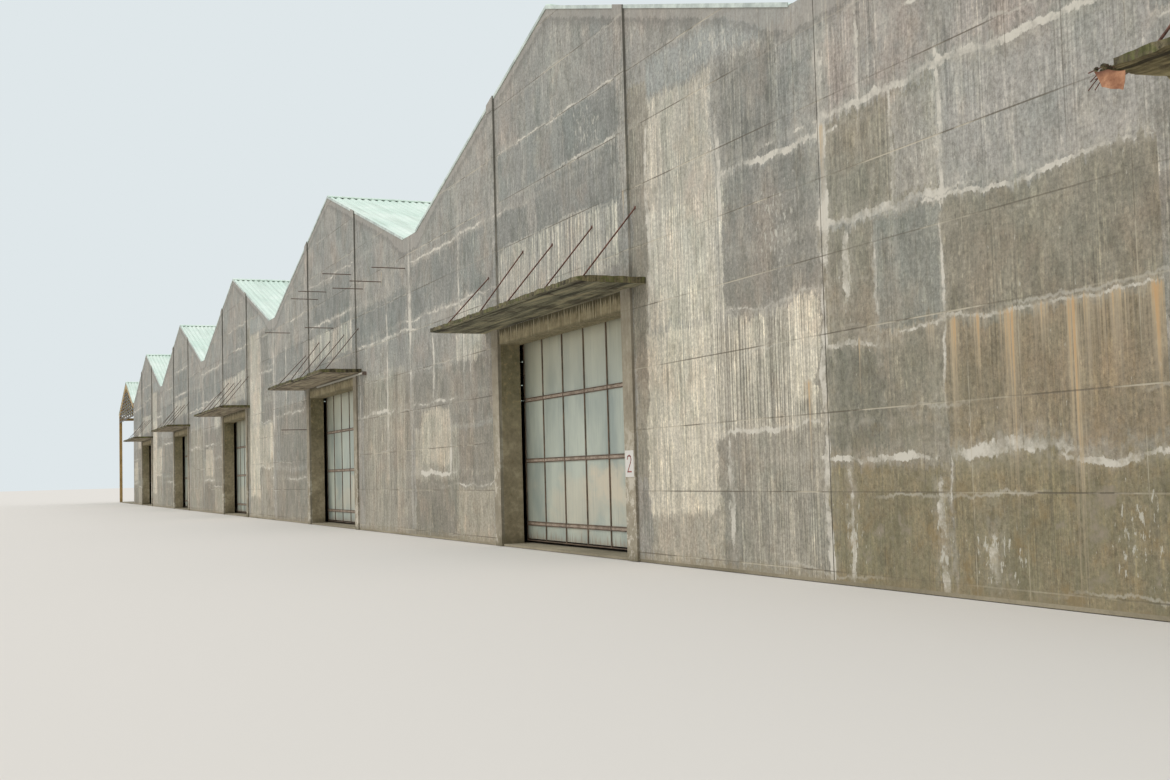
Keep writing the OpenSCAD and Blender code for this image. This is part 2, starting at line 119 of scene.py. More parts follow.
# Stain places are metres right of the second doorway's
# middle, and the further bays repeat those of bays 2 and 3.
wrapped = add(tree, "ShaderNodeMath", {0: along, 1: BAY_END, 2: BAY_END - 2 * BAY}, operation="WRAP")
near = add(tree, "ShaderNodeMath", {0: along, 1: BAY_END}, operation="GREATER_THAN")
place = add(tree, "ShaderNodeMix", {0: near, 2: wrapped, 3: along})
far = add(tree, "ShaderNodeMath", {0: along, 1: 16.4}, operation="GREATER_THAN")
back = add(tree, "ShaderNodeMath", {0: along, 1: BAY}, operation="SUBTRACT")
place = add(tree, "ShaderNodeMix", {0: far, 2: place, 3: back})
bay_place = add(tree, "ShaderNodeMath", {0: along, 1: BAY_END, 2: BAY_END - BAY}, operation="WRAP")
flat = add(tree, "ShaderNodeCombineXYZ", {0: place, 2: axes.outputs["Z"]})

# Rain runs: upright streaks 1 to 6 cm wide and a metre or two long, some in wider sheets.
runs_at = add(tree, "ShaderNodeVectorMath", {0: metres, 1: (13, 13, 0.34)}, operation="MULTIPLY")
runs = add(tree, "ShaderNodeTexNoise", {0: runs_at, "Scale": 1.0, "Detail": 5.0, "Roughness": 0.68})
wide_at = add(tree, "ShaderNodeVectorMath", {0: metres, 1: (3.1, 3.1, 0.24)}, operation="MULTIPLY")
wide_runs = add(tree, "ShaderNodeTexNoise", {0: wide_at, "Scale": 1.0, "Detail": 4.0, "Roughness": 0.6})
# Threads of water, 1 to 2 cm wide and some metres long.
thread_at = add(tree, "ShaderNodeVectorMath", {0: metres, 1: (31, 31, 0.2)}, operation="MULTIPLY")
thread = add(tree, "ShaderNodeTexNoise", {0: thread_at, "Scale": 1.0, "Detail": 3.0, "Roughness": 0.6})
# Edges of stains waver by 5 to 15 cm over a metre or two, and are torn by 4 cm.
waver = add(tree, "ShaderNodeTexNoise", {0: metres, "Scale": 0.8, "Detail": 3.0, "Roughness": 0.6})
waver = add(tree, "ShaderNodeVectorMath", {0: waver.outputs["Color"], 1: (0.5, 0.5, 0.5)},
            operation="SUBTRACT")
torn = add(tree, "ShaderNodeTexNoise", {0: metres, "Scale": 6.0, "Detail": 5.0, "Roughness": 0.7})
torn_out = add(tree, "ShaderNodeVectorMath", {0: torn.outputs["Color"], 1: (0.5, 0.5, 0.5)},
               operation="SUBTRACT")
wavered = add(tree, "ShaderNodeVectorMath", {0: waver, 1: (0.35, 0, 0.42), 2: flat},
              operation="MULTIPLY_ADD")
crisp = add(tree, "ShaderNodeVectorMath", {0: torn_out, 1: (0.12, 0, 0.1), 2: wavered},
            operation="MULTIPLY_ADD")
edge = add(tree, "ShaderNodeVectorMath", {0: waver, 1: (0.55, 0, 0.5), 2: flat}, operation="MULTIPLY_ADD")
edge = add(tree, "ShaderNodeVectorMath", {0: torn_out, 1: (0.35, 0, 0.28), 2: edge},
           operation="MULTIPLY_ADD")
hang = add(tree, "ShaderNodeMath", {0: runs, 1: 0.5}, operation="SUBTRACT")
hang = add(tree, "ShaderNodeCombineXYZ", {2: hang})
crisp = add(tree, "ShaderNodeVectorMath", {0: hang, 1: (0, 0, 0.16), 2: crisp}, operation="MULTIPLY_ADD")
edge = add(tree, "ShaderNodeVectorMath", {0: hang, 1: (0, 0, 0.6), 2: edge}, operation="MULTIPLY_ADD")

# Mottled grey ground of the concrete, a little warmer or cooler from board to board.
cloud = add(tree, "ShaderNodeTexNoise", {0: metres, "Scale": 0.55, "Detail": 6.0, "Roughness": 0.6})
cloud = add(tree, "ShaderNodeMapRange", {0: cloud, 1: 0.3, 2: 0.7}, interpolation_type="SMOOTHSTEP")
ground = add(tree, "ShaderNodeMix", {0: cloud, 6: linear("#918f88"), 7: linear("#aba79d")},
             data_type="RGBA")
along_z = add(tree, "ShaderNodeMath", {0: axes.outputs["Z"], 1: FIRST_JOINT}, operation="SUBTRACT")
boards_at = add(tree, "ShaderNodeMath", {0: along, 1: -13.3}, operation="ADD")
board_spot = add(tree, "ShaderNodeCombineXYZ", {0: boards_at, 2: along_z})
for wide, cool, warm, share in ((2 * BOARD, "#92928b", "#aca396", 0.45), (BOARD, "#96948b", "#a9a398", 0.3)):
    cell = add(tree, "ShaderNodeVectorMath", {0: board_spot, 1: (wide, 1, LIFT)}, operation="SNAP")
    pick = add(tree, "ShaderNodeTexWhiteNoise", {0: cell})
    tone = add(tree, "ShaderNodeMix", {0: pick, 6: linear(cool), 7: linear(warm)}, data_type="RGBA")
    ground = add(tree, "ShaderNodeMix", {0: share, 6: ground, 7: tone}, data_type="RGBA")

# Zones with torn edges, in metres: left, right, foot and head. Each list is one kind of stain with its
# colour, how much of it shows, how far rain streaks break it up, and how much of a lime rim it has.
ZONES = (
    ("#868780", 0.6, 0.2, 0.35,
     ((-11.0, -4.3, 6.25, 7.75), (0.7, 3.6, 8.1, 9.2), (-0.9, 3.6, 6.9, 8.1),
      (-23.8, -18.0, 7.4, 8.75), (-17.6, -11.2, 5.9, 7.2), (-31.0, -25.6, 5.9, 7.1),
      (-21.5, -18.0, 5.9, 7.3), (-3.5, -1.4, 6.4, 7.8))),
    ("#a5a69f", 0.7, 0.2, 0.0, ((4.7, 9.9, 8.5, 9.2),)),
    ("#968e7d", 0.72, 0.1, 0.0, ((3.9, 4.72, 1.5, 8.9),)),
    ("#8b877c", 0.65, 0.25, 0.3,
     ((7.2, 10.15, 4.25, 6.45), (-10.7, -4.0, 3.0, 4.6), (-30.5, -25.0, 2.2, 4.8),
      (7.15, 9.1, 6.5, 8.4))),
    ("#8f897b", 0.65, 0.15, 0.0,
     ((6.95, 10.2, -1.0, 4.1), (-10.6, -4.0, -1.0, 2.9), (-31.2, -25.0, -1.0, 2.1),
      (-16.4, -11.0, -1.0, 4.8))),
    ("#8e887b", 0.75, 0.2, 0.0, ((-10.6, -6.9, -1.0, 1.75),)),
    ("#8f8876", 0.8, 0.1, 0.2, ((10.12, 17.0, -1.0, 5.05), (10.32, 12.9, 5.12, 6.65))),
    ("#8e918a", 0.7, 0.2, 0.2, ((11.5, 12.93, 3.55, 5.03),)),
    ("#747468", 0.6, 0.1, 0.0, ((10.2, 11.6, 1.95, 3.34),)),
    ("#94846a", 0.65, 0.15, 0.0, ((12.9, 17.0, 1.9, 3.4),)),
    ("#877c5d", 0.7, 0.15, 0.0, ((12.9, 17.0, -1.0, 1.8), (10.2, 12.9, -1.0, 1.75))),
    ("#b2aca2", 0.6, 0.2, 0.25, ((12.98, 16.6, 5.12, 6.62), (11.97, 12.94, 5.2, 6.6))),
    ("#aca298", 0.6, 0.2, 0.0, ((10.5, 16.6, 6.8, 8.4),)),
    ("#c9c0ae", 0.85, 0.3, 0.5, ((4.66, 7.12, 4.3, 8.45), (-9.95, -7.38, 2.02, 3.55))),
    ("#b6ae9c", 0.75, 0.3, 0.0, ((4.4, 7.1, -1.0, 1.2), (-6.8, -4.0, -0.5, 1.42))),
    ("#dad2bf", 0.9, 0.3, 0.3, ((4.4, 6.95, 0.9, 4.2), (9.3, 10.06, 2.6, 4.2))),
    ("#d9d2c0", 0.95, 1.0, 0.0,
     ((6.8, 10.06, 2.2, 4.18), (4.5, 7.4, 4.0, 6.4), (-3.4, 3.4, 5.6, 7.0), (-24.4, -17.6, 6.0, 7.0),
      (-6.7, -4.6, 4.6, 6.1))),
    ("#c9c2b0", 0.5, 1.0, 0.0,
     ((7.6, 10.06, -1.0, 2.4), (-10.6, -6.6, 1.6, 3.0), (-16.2, -11.4, -0.5, 5.0))),
)
rim_break = add(tree, "ShaderNodeMapRange", {0: torn, 1: 0.4, 2: 0.62})
for colour, share, broken, rimmed, boxes in ZONES:
    field = None
    for left, right, foot, head in boxes:
        middle = ((left + right) / 2, 0, (foot + head) / 2)
        reach = ((right - left) / 2, 9, (head - foot) / 2)
        off = add(tree, "ShaderNodeVectorMath", {0: edge, 1: middle}, operation="SUBTRACT")
        off = add(tree, "ShaderNodeVectorMath", {0: off}, operation="ABSOLUTE")
        off = add(tree, "ShaderNodeVectorMath", {0: reach, 1: off}, operation="SUBTRACT")
        off = add(tree, "ShaderNodeSeparateXYZ", {0: off})
        inside = add(tree, "ShaderNodeMath", {0: off.outputs["X"], 1: off.outputs["Z"]},
                     operation="MINIMUM")
        field = inside if field is None else add(tree, "ShaderNodeMath", {0: field, 1: inside},
                                                 operation="MAXIMUM")
    inner = add(tree, "ShaderNodeMapRange", {0: field, 1: 0.0, 2: 0.05, 4: share},
                interpolation_type="SMOOTHSTEP")
    streak = add(tree, "ShaderNodeMapRange", {0: thread, 1: 0.44, 2: 0.54, 3: 1 - broken, 4: 1.0})
    wider = add(tree, "ShaderNodeMapRange", {0: runs, 1: 0.4, 2: 0.5, 3: 1 - broken * 0.7, 4: 1.0})
    streak = add(tree, "ShaderNodeMath", {0: streak, 1: wider}, operation="MULTIPLY")
    inner = add(tree, "ShaderNodeMath", {0: inner, 1: streak}, operation="MULTIPLY")
    ground = add(tree, "ShaderNodeMix", {0: inner, 6: ground, 7: linear(colour)}, data_type="RGBA")
    if rimmed:
        rim = add(tree, "ShaderNodeMath", {0: field, 1: -0.01, 2: 0.022}, operation="COMPARE")
        rim = add(tree, "ShaderNodeMath", {0: rim, 1: rimmed}, operation="MULTIPLY")
        rim = add(tree, "ShaderNodeMath", {0: rim, 1: rim_break}, operation="MULTIPLY")
        ground = add(tree, "ShaderNodeMix", {0: rim, 6: ground, 7: linear("#cfc8b6")}, data_type="RGBA")

# Blotches and smears over all of it tint the concrete: their size in turns a metre, the
# range of the noise in which they come in, and what they do to red, green and blue.
BLOTCHES = (
    ((0.6, 0.6, 0.45), 0.5, 0.6, (-0.05, -0.02, -0.02)),
    ((0.75, 0.75, 0.6), 0.51, 0.63, (0.06, 0.0, -0.03)),
    ((1.3, 1.3, 0.9), 0.52, 0.58, (-0.09, -0.08, -0.09)), ((1.9, 1.9, 1.0), 0.54, 0.62, (0.16, 0.14, 0.12)),
    ((3.3, 3.3, 1.9), 0.52, 0.6, (-0.14, -0.14, -0.15)), ((4.1, 4.1, 1.3), 0.56, 0.63, (0.2, 0.19, 0.17)),
    ((7.5, 7.5, 2.6), 0.5, 0.62, (-0.15, -0.15, -0.16)), ((9.0, 9.0, 2.2), 0.56, 0.66, (0.3, 0.29, 0.26)),
    ((17.0, 17.0, 9.0), 0.54, 0.66, (-0.18, -0.19, -0.2)),
    ((19.0, 19.0, 4.0), 0.6, 0.66, (0.34, 0.33, 0.3)),
)
for turn, (size, start, full, tint) in enumerate(BLOTCHES):
    at = add(tree, "ShaderNodeVectorMath", {0: metres, 1: size, 2: (7.3 * turn, 3.1, 5.7 * turn)},
             operation="MULTIPLY_ADD")
    blot = add(tree, "ShaderNodeTexNoise", {0: at, "Scale": 1.0, "Detail": 6.0, "Roughness": 0.66})
    blot = add(tree, "ShaderNodeMapRange", {0: blot, 1: start, 2: full})
    tint = [1 + part for part in tint] + [1]
    ground = add(tree, "ShaderNodeMix", {0: blot, 6: ground, 7: tint}, data_type="RGBA",
                 blend_type="MULTIPLY")
# Threads of water darken or whiten the wall in some places and not in others.
gate_at = add(tree, "ShaderNodeVectorMath", {0: metres, 1: (0.9, 0.9, 0.35)}, operation="MULTIPLY")
gate = add(tree, "ShaderNodeTexNoise", {0: gate_at, "Scale": 1.0, "Detail": 3.0})
gate = add(tree, "ShaderNodeMapRange", {0: gate, 1: 0.44, 2: 0.6, 3: 0.25, 4: 1.0})
for run, start, full, tint in ((thread, 0.46, 0.36, (-0.3, -0.3, -0.31)),
                               (thread, 0.56, 0.64, (0.38, 0.37, 0.33)),
                               (runs, 0.45, 0.34, (-0.16, -0.16, -0.17)),
                               (wide_runs, 0.55, 0.68, (0.13, 0.12, 0.1))):
    streak = add(tree, "ShaderNodeMapRange", {0: run, 1: start, 2: full})
    streak = add(tree, "ShaderNodeMath", {0: streak, 1: gate}, operation="MULTIPLY")
    tint = [1 + part for part in tint] + [1]
    ground = add(tree, "ShaderNodeMix", {0: streak, 6: ground, 7: tint}, data_type="RGBA",
                 blend_type="MULTIPLY")
# A factor from -0.34 to 0.36 on a doubling makes the ground 0.66 to 1.36 times as light.
DOUBLE = (2, 2, 2, 1)
grit = add(tree, "ShaderNodeTexNoise", {0: metres, "Scale": 16.0, "Detail": 7.0, "Roughness": 0.85})
mottle = add(tree, "ShaderNodeMapRange", {0: grit, 1: 0.36, 2: 0.64, 3: -0.34, 4: 0.36})
ground = add(tree, "ShaderNodeMix", {0: mottle, 6: ground, 7: DOUBLE}, data_type="RGBA",
             blend_type="MULTIPLY", clamp_factor=False)
# Above five metres the rain keeps the concrete cleaner and greyer.
washed = add(tree, "ShaderNodeMapRange", {0: axes.outputs["Z"], 1: 3.8, 2: 6.0})
ground = add(tree, "ShaderNodeMix", {0: washed, 6: ground, 7: (0.98, 1.01, 1.05, 1)}, data_type="RGBA",
             blend_type="MULTIPLY")
# Green, brown and pinkish growth low on the first bay.
growth = add(tree, "ShaderNodeTexNoise", {0: metres, "Scale": 1.9, "Detail": 6.0, "Roughness": 0.7})
wet_foot = add(tree, "ShaderNodeMapRange", {0: axes.outputs["Z"], 1: 3.4, 2: 0.6, 4: 0.6})
first_bay = add(tree, "ShaderNodeMath", {0: place, 1: 10.15}, operation="GREATER_THAN")
wet_foot = add(tree, "ShaderNodeMath", {0: wet_foot, 1: first_bay}, operation="MULTIPLY")
for start, full, colour in ((0.49, 0.62, "#7b7a5e"), (0.47, 0.36, "#8f7b56"), (0.56, 0.66, "#a5978a")):
    patch = add(tree, "ShaderNodeMapRange", {0: growth, 1: start, 2: full})
    patch = add(tree, "ShaderNodeMath", {0: patch, 1: wet_foot}, operation="MULTIPLY")
    ground = add(tree, "ShaderNodeMix", {0: patch, 6: ground, 7: linear(colour)}, data_type="RGBA")

# Lime bands and drips: middle, half length and half height in metres, nearly level or nearly upright.
LIME = (
    (13.0, 6.72, 2.9, 0.045), (11.6, 5.13, 1.5, 0.06), (14.5, 5.04, 1.9, 0.025),
    (10.75, 3.36, 0.65, 0.035), (14.2, 3.5, 2.2, 0.022), (11.4, 1.82, 1.3, 0.035),
    (13.98, 1.84, 1.0, 0.08), (15.6, 1.74, 0.8, 0.035), (8.9, 6.5, 1.5, 0.04), (8.5, 2.28, 1.6, 0.03),
    (8.9, 4.24, 1.1, 0.018), (0.2, 9.27, 3.4, 0.018), (-7.5, 7.86, 3.4, 0.028), (-7.4, 6.18, 3.4, 0.026),
    (-8.7, 1.8, 1.4, 0.045), (-5.6, 1.46, 1.4, 0.02), (-8.6, 3.74, 1.5, 0.03), (-26.3, 8.1, 1.4, 0.03),
    (-21.0, 8.9, 3.2, 0.025), (-21.0, 7.35, 3.2, 0.035), (-14.0, 5.95, 3.0, 0.035),
    (-14.8, 3.7, 1.8, 0.045), (-27.0, 1.75, 1.4, 0.04), (-28.0, 4.4, 2.4, 0.035), (-20.0, 2.9, 0.1, 0.1),
    (11.95, 5.85, 0.035, 0.8), (12.96, 5.85, 0.04, 0.8), (12.9, 3.0, 0.02, 1.9),
    (11.52, 4.2, 0.03, 0.75), (12.7, 0.7, 0.07, 0.8), (10.7, 0.65, 0.045, 0.75), (10.17, 2.2, 0.06, 2.4),
    (10.78, 4.5, 0.08, 0.5), (11.2, 7.3, 0.035, 0.6), (-8.7, 4.5, 0.05, 0.8), (-6.4, 7.0, 0.05, 0.9),
    (-6.1, 5.1, 0.03, 0.8), (-5.6, 5.1, 0.03, 0.7), (-7.32, 2.7, 0.06, 0.8), (-13.4, 5.2, 0.05, 2.0),
    (10.28, 6.4, 0.1, 1.9), (-10.9, 6.5, 0.1, 1.8), (7.35, 1.3, 0.06, 0.8), (7.25, 6.8, 0.05, 0.9),
    (-16.8, 4.2, 0.04, 1.0), (-29.0, 6.2, 0.05, 1.0), (13.7, 0.5, 0.08, 0.25), (-31.6, 6.0, 0.1, 2.2),
    (4.6, 6.0, 0.05, 1.6), (2.0, 8.16, 1.6, 0.025), (14.3, 7.75, 1.6, 0.03),
)
nearest = None
for at, height, reach, rise in LIME:
    off = add(tree, "ShaderNodeVectorMath",
              {0: crisp, 1: (1 / reach, 0, 1 / rise), 2: (-at / reach, 0, -height / rise)},
              operation="MULTIPLY_ADD")
    off = add(tree, "ShaderNodeVectorMath", {0: off}, operation="LENGTH")
    nearest = off if nearest is None else add(tree, "ShaderNodeMath", {0: nearest, 1: off},
                                              operation="MINIMUM")
thickness = add(tree, "ShaderNodeTexNoise", {0: metres, "Scale": 1.3, "Detail": 6.0, "Roughness": 0.75})
frayed = add(tree, "ShaderNodeMath", {0: thickness, 1: -3.0, 2: nearest}, operation="MULTIPLY_ADD")
lime = add(tree, "ShaderNodeMapRange", {0: frayed, 1: -0.3, 2: -0.55, 3: 0.0, 4: 0.9})
thickness = add(tree, "ShaderNodeMapRange", {0: thickness, 1: 0.43, 2: 0.57, 3: 0.15, 4: 1.0})
lime = add(tree, "ShaderNodeMath", {0: lime, 1: thickness}, operation="MULTIPLY")
ground = add(tree, "ShaderNodeMix", {0: lime, 6: ground, 7: linear("#d8d3c6")}, data_type="RGBA")
# A fainter wash of it spreads a hand's width beside each band.
wash = add(tree, "ShaderNodeMapRange", {0: nearest, 1: 4.0, 2: 1.2, 3: 0.0, 4: 0.32})
wash = add(tree, "ShaderNodeMath", {0: wash, 1: rim_break}, operation="MULTIPLY")
ground = add(tree, "ShaderNodeMix", {0: wash, 6: ground, 7: linear("#cfc8ba")}, data_type="RGBA")
# Small upright flakes of lime crust, thick in the zones listed and rare elsewhere.
CRUST = (
    (12.2, 12.92, 5.2, 6.5), (10.6, 11.0, 3.4, 4.9), (10.4, 11.0, -0.1, 1.5), (13.2, 14.3, 0.1, 1.0),
    (7.1, 7.5, 0.1, 2.3), (0.9, 2.9, 7.8, 9.2), (5.0, 9.5, 8.4, 9.2), (-6.9, -5.2, 5.0, 7.2),
    (12.5, 12.9, 0.0, 1.3), (8.2, 9.9, 4.4, 6.3), (-15.5, -13.2, 4.2, 6.2), (-28.2, -26.4, 5.0, 7.0),
    (15.4, 16.4, 0.2, 1.6),
)
field = None
for left, right, foot, head in CRUST:
    off = add(tree, "ShaderNodeVectorMath", {0: edge, 1: ((left + right) / 2, 0, (foot + head) / 2)},
              operation="SUBTRACT")
    off = add(tree, "ShaderNodeVectorMath", {0: off, 1: (2 / (right - left), 0, 2 / (head - foot))},
              operation="MULTIPLY")
    off = add(tree, "ShaderNodeVectorMath", {0: off}, operation="LENGTH")
    field = off if field is None else add(tree, "ShaderNodeMath", {0: field, 1: off}, operation="MINIMUM")
crust_at = add(tree, "ShaderNodeVectorMath", {0: metres, 1: (15, 15, 5)}, operation="MULTIPLY")
crust = add(tree, "ShaderNodeTexNoise", {0: crust_at, "Scale": 1.0, "Detail": 5.0, "Roughness": 0.65})
field = add(tree, "ShaderNodeMapRange", {0: field, 1: 1.3, 2: 0.3, 3: -0.08, 4: 0.03})
crust = add(tree, "ShaderNodeMath", {0: crust, 1: field}, operation="ADD")
crust = add(tree, "ShaderNodeMapRange", {0: crust, 1: 0.58, 2: 0.62, 4: 0.75})
ground = add(tree, "ShaderNodeMix", {0: crust, 6: ground, 7: linear("#cbc8bb")}, data_type="RGBA")
# Smaller bands of the same lime along any lift, in about a third of the places.
lift = add(tree, "ShaderNodeVectorMath", {0: crisp, 1: (0, 0, FIRST_JOINT)}, operation="SUBTRACT")
lift = add(tree, "ShaderNodeSeparateXYZ", {0: lift})
lift = add(tree, "ShaderNodeMath", {0: lift.outputs["Z"], 1: LIFT / 2}, operation="PINGPONG")
lift = add(tree, "ShaderNodeMapRange", {0: lift, 1: 0.03, 2: 0.01}, interpolation_type="SMOOTHSTEP")
some_at = add(tree, "ShaderNodeVectorMath", {0: metres, 1: (0.35, 0.35, 0.9)}, operation="MULTIPLY")
some = add(tree, "ShaderNodeTexNoise", {0: some_at, "Scale": 1.0, "Detail": 1.0})
some = add(tree, "ShaderNodeMapRange", {0: some, 1: 0.55, 2: 0.65, 4: 0.4})
lift = add(tree, "ShaderNodeMath", {0: lift, 1: some}, operation="MULTIPLY")
ground = add(tree, "ShaderNodeMix", {0: lift, 6: ground, 7: linear("#cfcabd")}, data_type="RGBA")

# Rust runs down from old fixings and the lift joint in threads 1 to 3 cm wide, tan with orange
# cores. Each run starts sharply and fades downwards: place, head, length and half width in metres.
RUST = (
    (12.62, 3.46, 0.9, 0.1), (13.05, 3.46, 2.4, 0.12), (13.5, 3.46, 1.1, 0.16), (14.1, 3.46, 2.6, 0.26),
    (14.6, 3.46, 1.0, 0.2), (15.1, 3.46, 5.2, 0.2), (15.35, 3.46, 1.7, 0.2), (15.75, 3.46, 1.5, 0.3),
    (16.3, 3.46, 1.5, 0.3), (11.05, 3.4, 1.2, 0.05), (9.75, 2.9, 1.6, 0.12), (3.7, 7.0, 0.9, 0.06),
    (-19.2, 4.6, 1.6, 0.1), (-13.9, 8.0, 0.9, 0.06), (10.85, 9.0, 1.9, 0.08), (13.35, 9.2, 2.5, 0.1),
    (10.3, 6.6, 2.6, 0.07),
)
teeth = add(tree, "ShaderNodeMath", {0: thread, 1: 0.5}, operation="SUBTRACT")
teeth = add(tree, "ShaderNodeMath", {0: teeth, 1: 0.25}, operation="MULTIPLY")
teeth = add(tree, "ShaderNodeCombineXYZ", {2: teeth})
steady = add(tree, "ShaderNodeVectorMath", {0: waver, 1: (0.08, 0, 0.1), 2: flat}, operation="MULTIPLY_ADD")
steady = add(tree, "ShaderNodeVectorMath", {0: steady, 1: teeth}, operation="ADD")
nearest = None
for at, head, length, reach in RUST:
    off = add(tree, "ShaderNodeVectorMath",
              {0: steady, 1: (1 / reach, 0, -1 / length), 2: (-at / reach, 0, head / length)},
              operation="MULTIPLY_ADD")
    over = add(tree, "ShaderNodeVectorMath", {0: off, 1: (-1, 0, -9 * length)}, operation="MULTIPLY")
    off = add(tree, "ShaderNodeVectorMath", {0: off, 1: over}, operation="MAXIMUM")
    off = add(tree, "ShaderNodeVectorMath", {0: off, 1: (0.7, 0, 1)}, operation="DOT_PRODUCT")
    nearest = off if nearest is None else add(tree, "ShaderNodeMath", {0: nearest, 1: off},
                                              operation="MINIMUM")
fray = add(tree, "ShaderNodeMath", {0: runs, 1: -1.6, 2: 0.8}, operation="MULTIPLY_ADD")
nearest = add(tree, "ShaderNodeMath", {0: nearest, 1: fray}, operation="ADD")
threads_at = add(tree, "ShaderNodeVectorMath", {0: metres, 1: (22, 22, 0.12)}, operation="MULTIPLY")
threads = add(tree, "ShaderNodeTexNoise", {0: threads_at, "Scale": 1.0, "Detail": 4.0, "Roughness": 0.6})
# Near the head the threads run together, and further down only the strongest are left.
thinned = add(tree, "ShaderNodeMath", {0: nearest, 1: -0.3, 2: threads}, operation="MULTIPLY_ADD")
for start, full, core, colour, share in ((1.2, 0.1, 0.3, "#b9ab94", 0.55),
                                         (1.0, 0.1, 0.42, "#cab48f", 0.55),
                                         (0.8, -0.1, 0.5, "#cb9a63", 0.55)):
    rust = add(tree, "ShaderNodeMapRange", {0: nearest, 1: start, 2: full, 4: share})
    line = add(tree, "ShaderNodeMapRange", {0: thinned, 1: core - 0.05, 2: core + 0.05})
    rust = add(tree, "ShaderNodeMath", {0: rust, 1: line}, operation="MULTIPLY")
    ground = add(tree, "ShaderNodeMix", {0: rust, 6: ground, 7: linear(colour)}, data_type="RGBA")

# The drier strip under the roof edge, 0.2 m deep on the
# slopes and 0.4 m at the valleys, with a dark torn foot.
left_side = add(tree, "ShaderNodeMath", {0: bay_place, 1: -0.31}, operation="MULTIPLY")
right_side = add(tree, "ShaderNodeMath", {0: bay_place, 1: 0.328}, operation="MULTIPLY")
roof_fall = add(tree, "ShaderNodeMath", {0: left_side, 1: right_side}, operation="MAXIMUM")
roof_line = add(tree, "ShaderNodeMath", {0: RIDGE_TALL, 1: roof_fall}, operation="SUBTRACT")
roof_line = add(tree, "ShaderNodeMath", {0: roof_line, 1: VALLEY_TALL}, operation="MAXIMUM")
torn_z = add(tree, "ShaderNodeSeparateXYZ", {0: torn_out})
below = add(tree, "ShaderNodeMath", {0: roof_line, 1: axes.outputs["Z"]}, operation="SUBTRACT")
below = add(tree, "ShaderNodeMath", {0: torn_z.outputs["Z"], 1: 0.35, 2: below}, operation="MULTIPLY_ADD")
sheltered = add(tree, "ShaderNodeMapRange", {0: roof_line, 1: 9.3, 2: 8.7, 3: 0.2, 4: 0.0},
                interpolation_type="SMOOTHSTEP")
below = add(tree, "ShaderNodeMath", {0: below, 1: sheltered}, operation="ADD")
dry = add(tree, "ShaderNodeMapRange", {0: below, 1: 0.42, 2: 0.38, 4: 0.55})
ground = add(tree, "ShaderNodeMix", {0: dry, 6: ground, 7: linear("#a39e96")}, data_type="RGBA")
foot = add(tree, "ShaderNodeMapRange", {0: below, 1: 0.39, 2: 0.43})
under = add(tree, "ShaderNodeMapRange", {0: below, 1: 0.62, 2: 0.46, 4: 0.45})
foot = add(tree, "ShaderNodeMath", {0: foot, 1: under}, operation="MULTIPLY")
ground = add(tree, "ShaderNodeMix", {0: foot, 6: ground, 7: linear("#77746e")}, data_type="RGBA")

# Joints between lifts and boards, 1 to 2 cm wide, and brown dirt at the very foot of the wall.
joint_z = add(tree, "ShaderNodeMath", {0: along_z, 1: LIFT / 2}, operation="PINGPONG")
joint_z = add(tree, "ShaderNodeMapRange", {0: joint_z, 1: 0.013, 2: 0.006})
joint_x = add(tree, "ShaderNodeMath", {0: boards_at, 1: BOARD / 2}, operation="PINGPONG")
joint_x = add(tree, "ShaderNodeMapRange", {0: joint_x, 1: 0.01, 2: 0.004, 4: 0.8})
seen_at = add(tree, "ShaderNodeVectorMath", {0: metres, 1: (0.5, 0.5, 0.7)}, operation="MULTIPLY")
seen = add(tree, "ShaderNodeTexNoise", {0: seen_at, "Scale": 1.0, "Detail": 3.0})
seen_z = add(tree, "ShaderNodeMapRange", {0: seen, 1: 0.4, 2: 0.56, 3: 0.2, 4: 0.75})
seen_x = add(tree, "ShaderNodeMapRange", {0: seen, 1: 0.55, 2: 0.42, 3: 0.0, 4: 0.6})
joint_z = add(tree, "ShaderNodeMath", {0: joint_z, 1: seen_z}, operation="MULTIPLY")
joint_x = add(tree, "ShaderNodeMath", {0: joint_x, 1: seen_x}, operation="MULTIPLY")
joint = add(tree, "ShaderNodeMath", {0: joint_z, 1: joint_x}, operation="MAXIMUM")
# Some joints have been washed full of lime and show pale.
filled = add(tree, "ShaderNodeMapRange", {0: cloud, 1: 0.5, 2: 0.75})
filled = add(tree, "ShaderNodeMix", {0: filled, 6: linear("#655e50"), 7: linear("#c6bda8")},
             data_type="RGBA")
ground = add(tree, "ShaderNodeMix", {0: joint, 6: ground, 7: filled}, data_type="RGBA")
low = add(tree, "ShaderNodeMath", {0: torn_z.outputs["Z"], 1: 0.8, 2: axes.outputs["Z"]},
          operation="MULTIPLY_ADD")
dirt = add(tree, "ShaderNodeMapRange", {0: low, 1: 0.22, 2: 0.02, 4: 0.5})
ground = add(tree, "ShaderNodeMix", {0: dirt, 6: ground, 7: linear("#8f8266")}, data_type="RGBA")

pits = add(tree, "ShaderNodeMath", {0: joint, 1: -1.2, 2: grit}, operation="MULTIPLY_ADD")
bump = add(tree, "ShaderNodeBump", {"Strength": 0.5, "Distance": 0.0012, "Height": pits})
chalk = add(tree, "ShaderNodeMapRange", {0: grit, 1: 0.3, 2: 0.7, 3: 0.78, 4: 0.95})
shell = add(tree, "ShaderNodeBsdfPrincipled",
            {"Base Color": ground, "Roughness": chalk, "Normal": bump, "Specular IOR Level": 0.3})
shell.name = "shell"
add(tree, "ShaderNodeOutputMaterial", {0: shell})
give_finish(cast, "wall_left_panels", "wall_right_panels", "walls_over_doors")
give_finish(cast, "rear_walls", "end_wall", "party_wall")


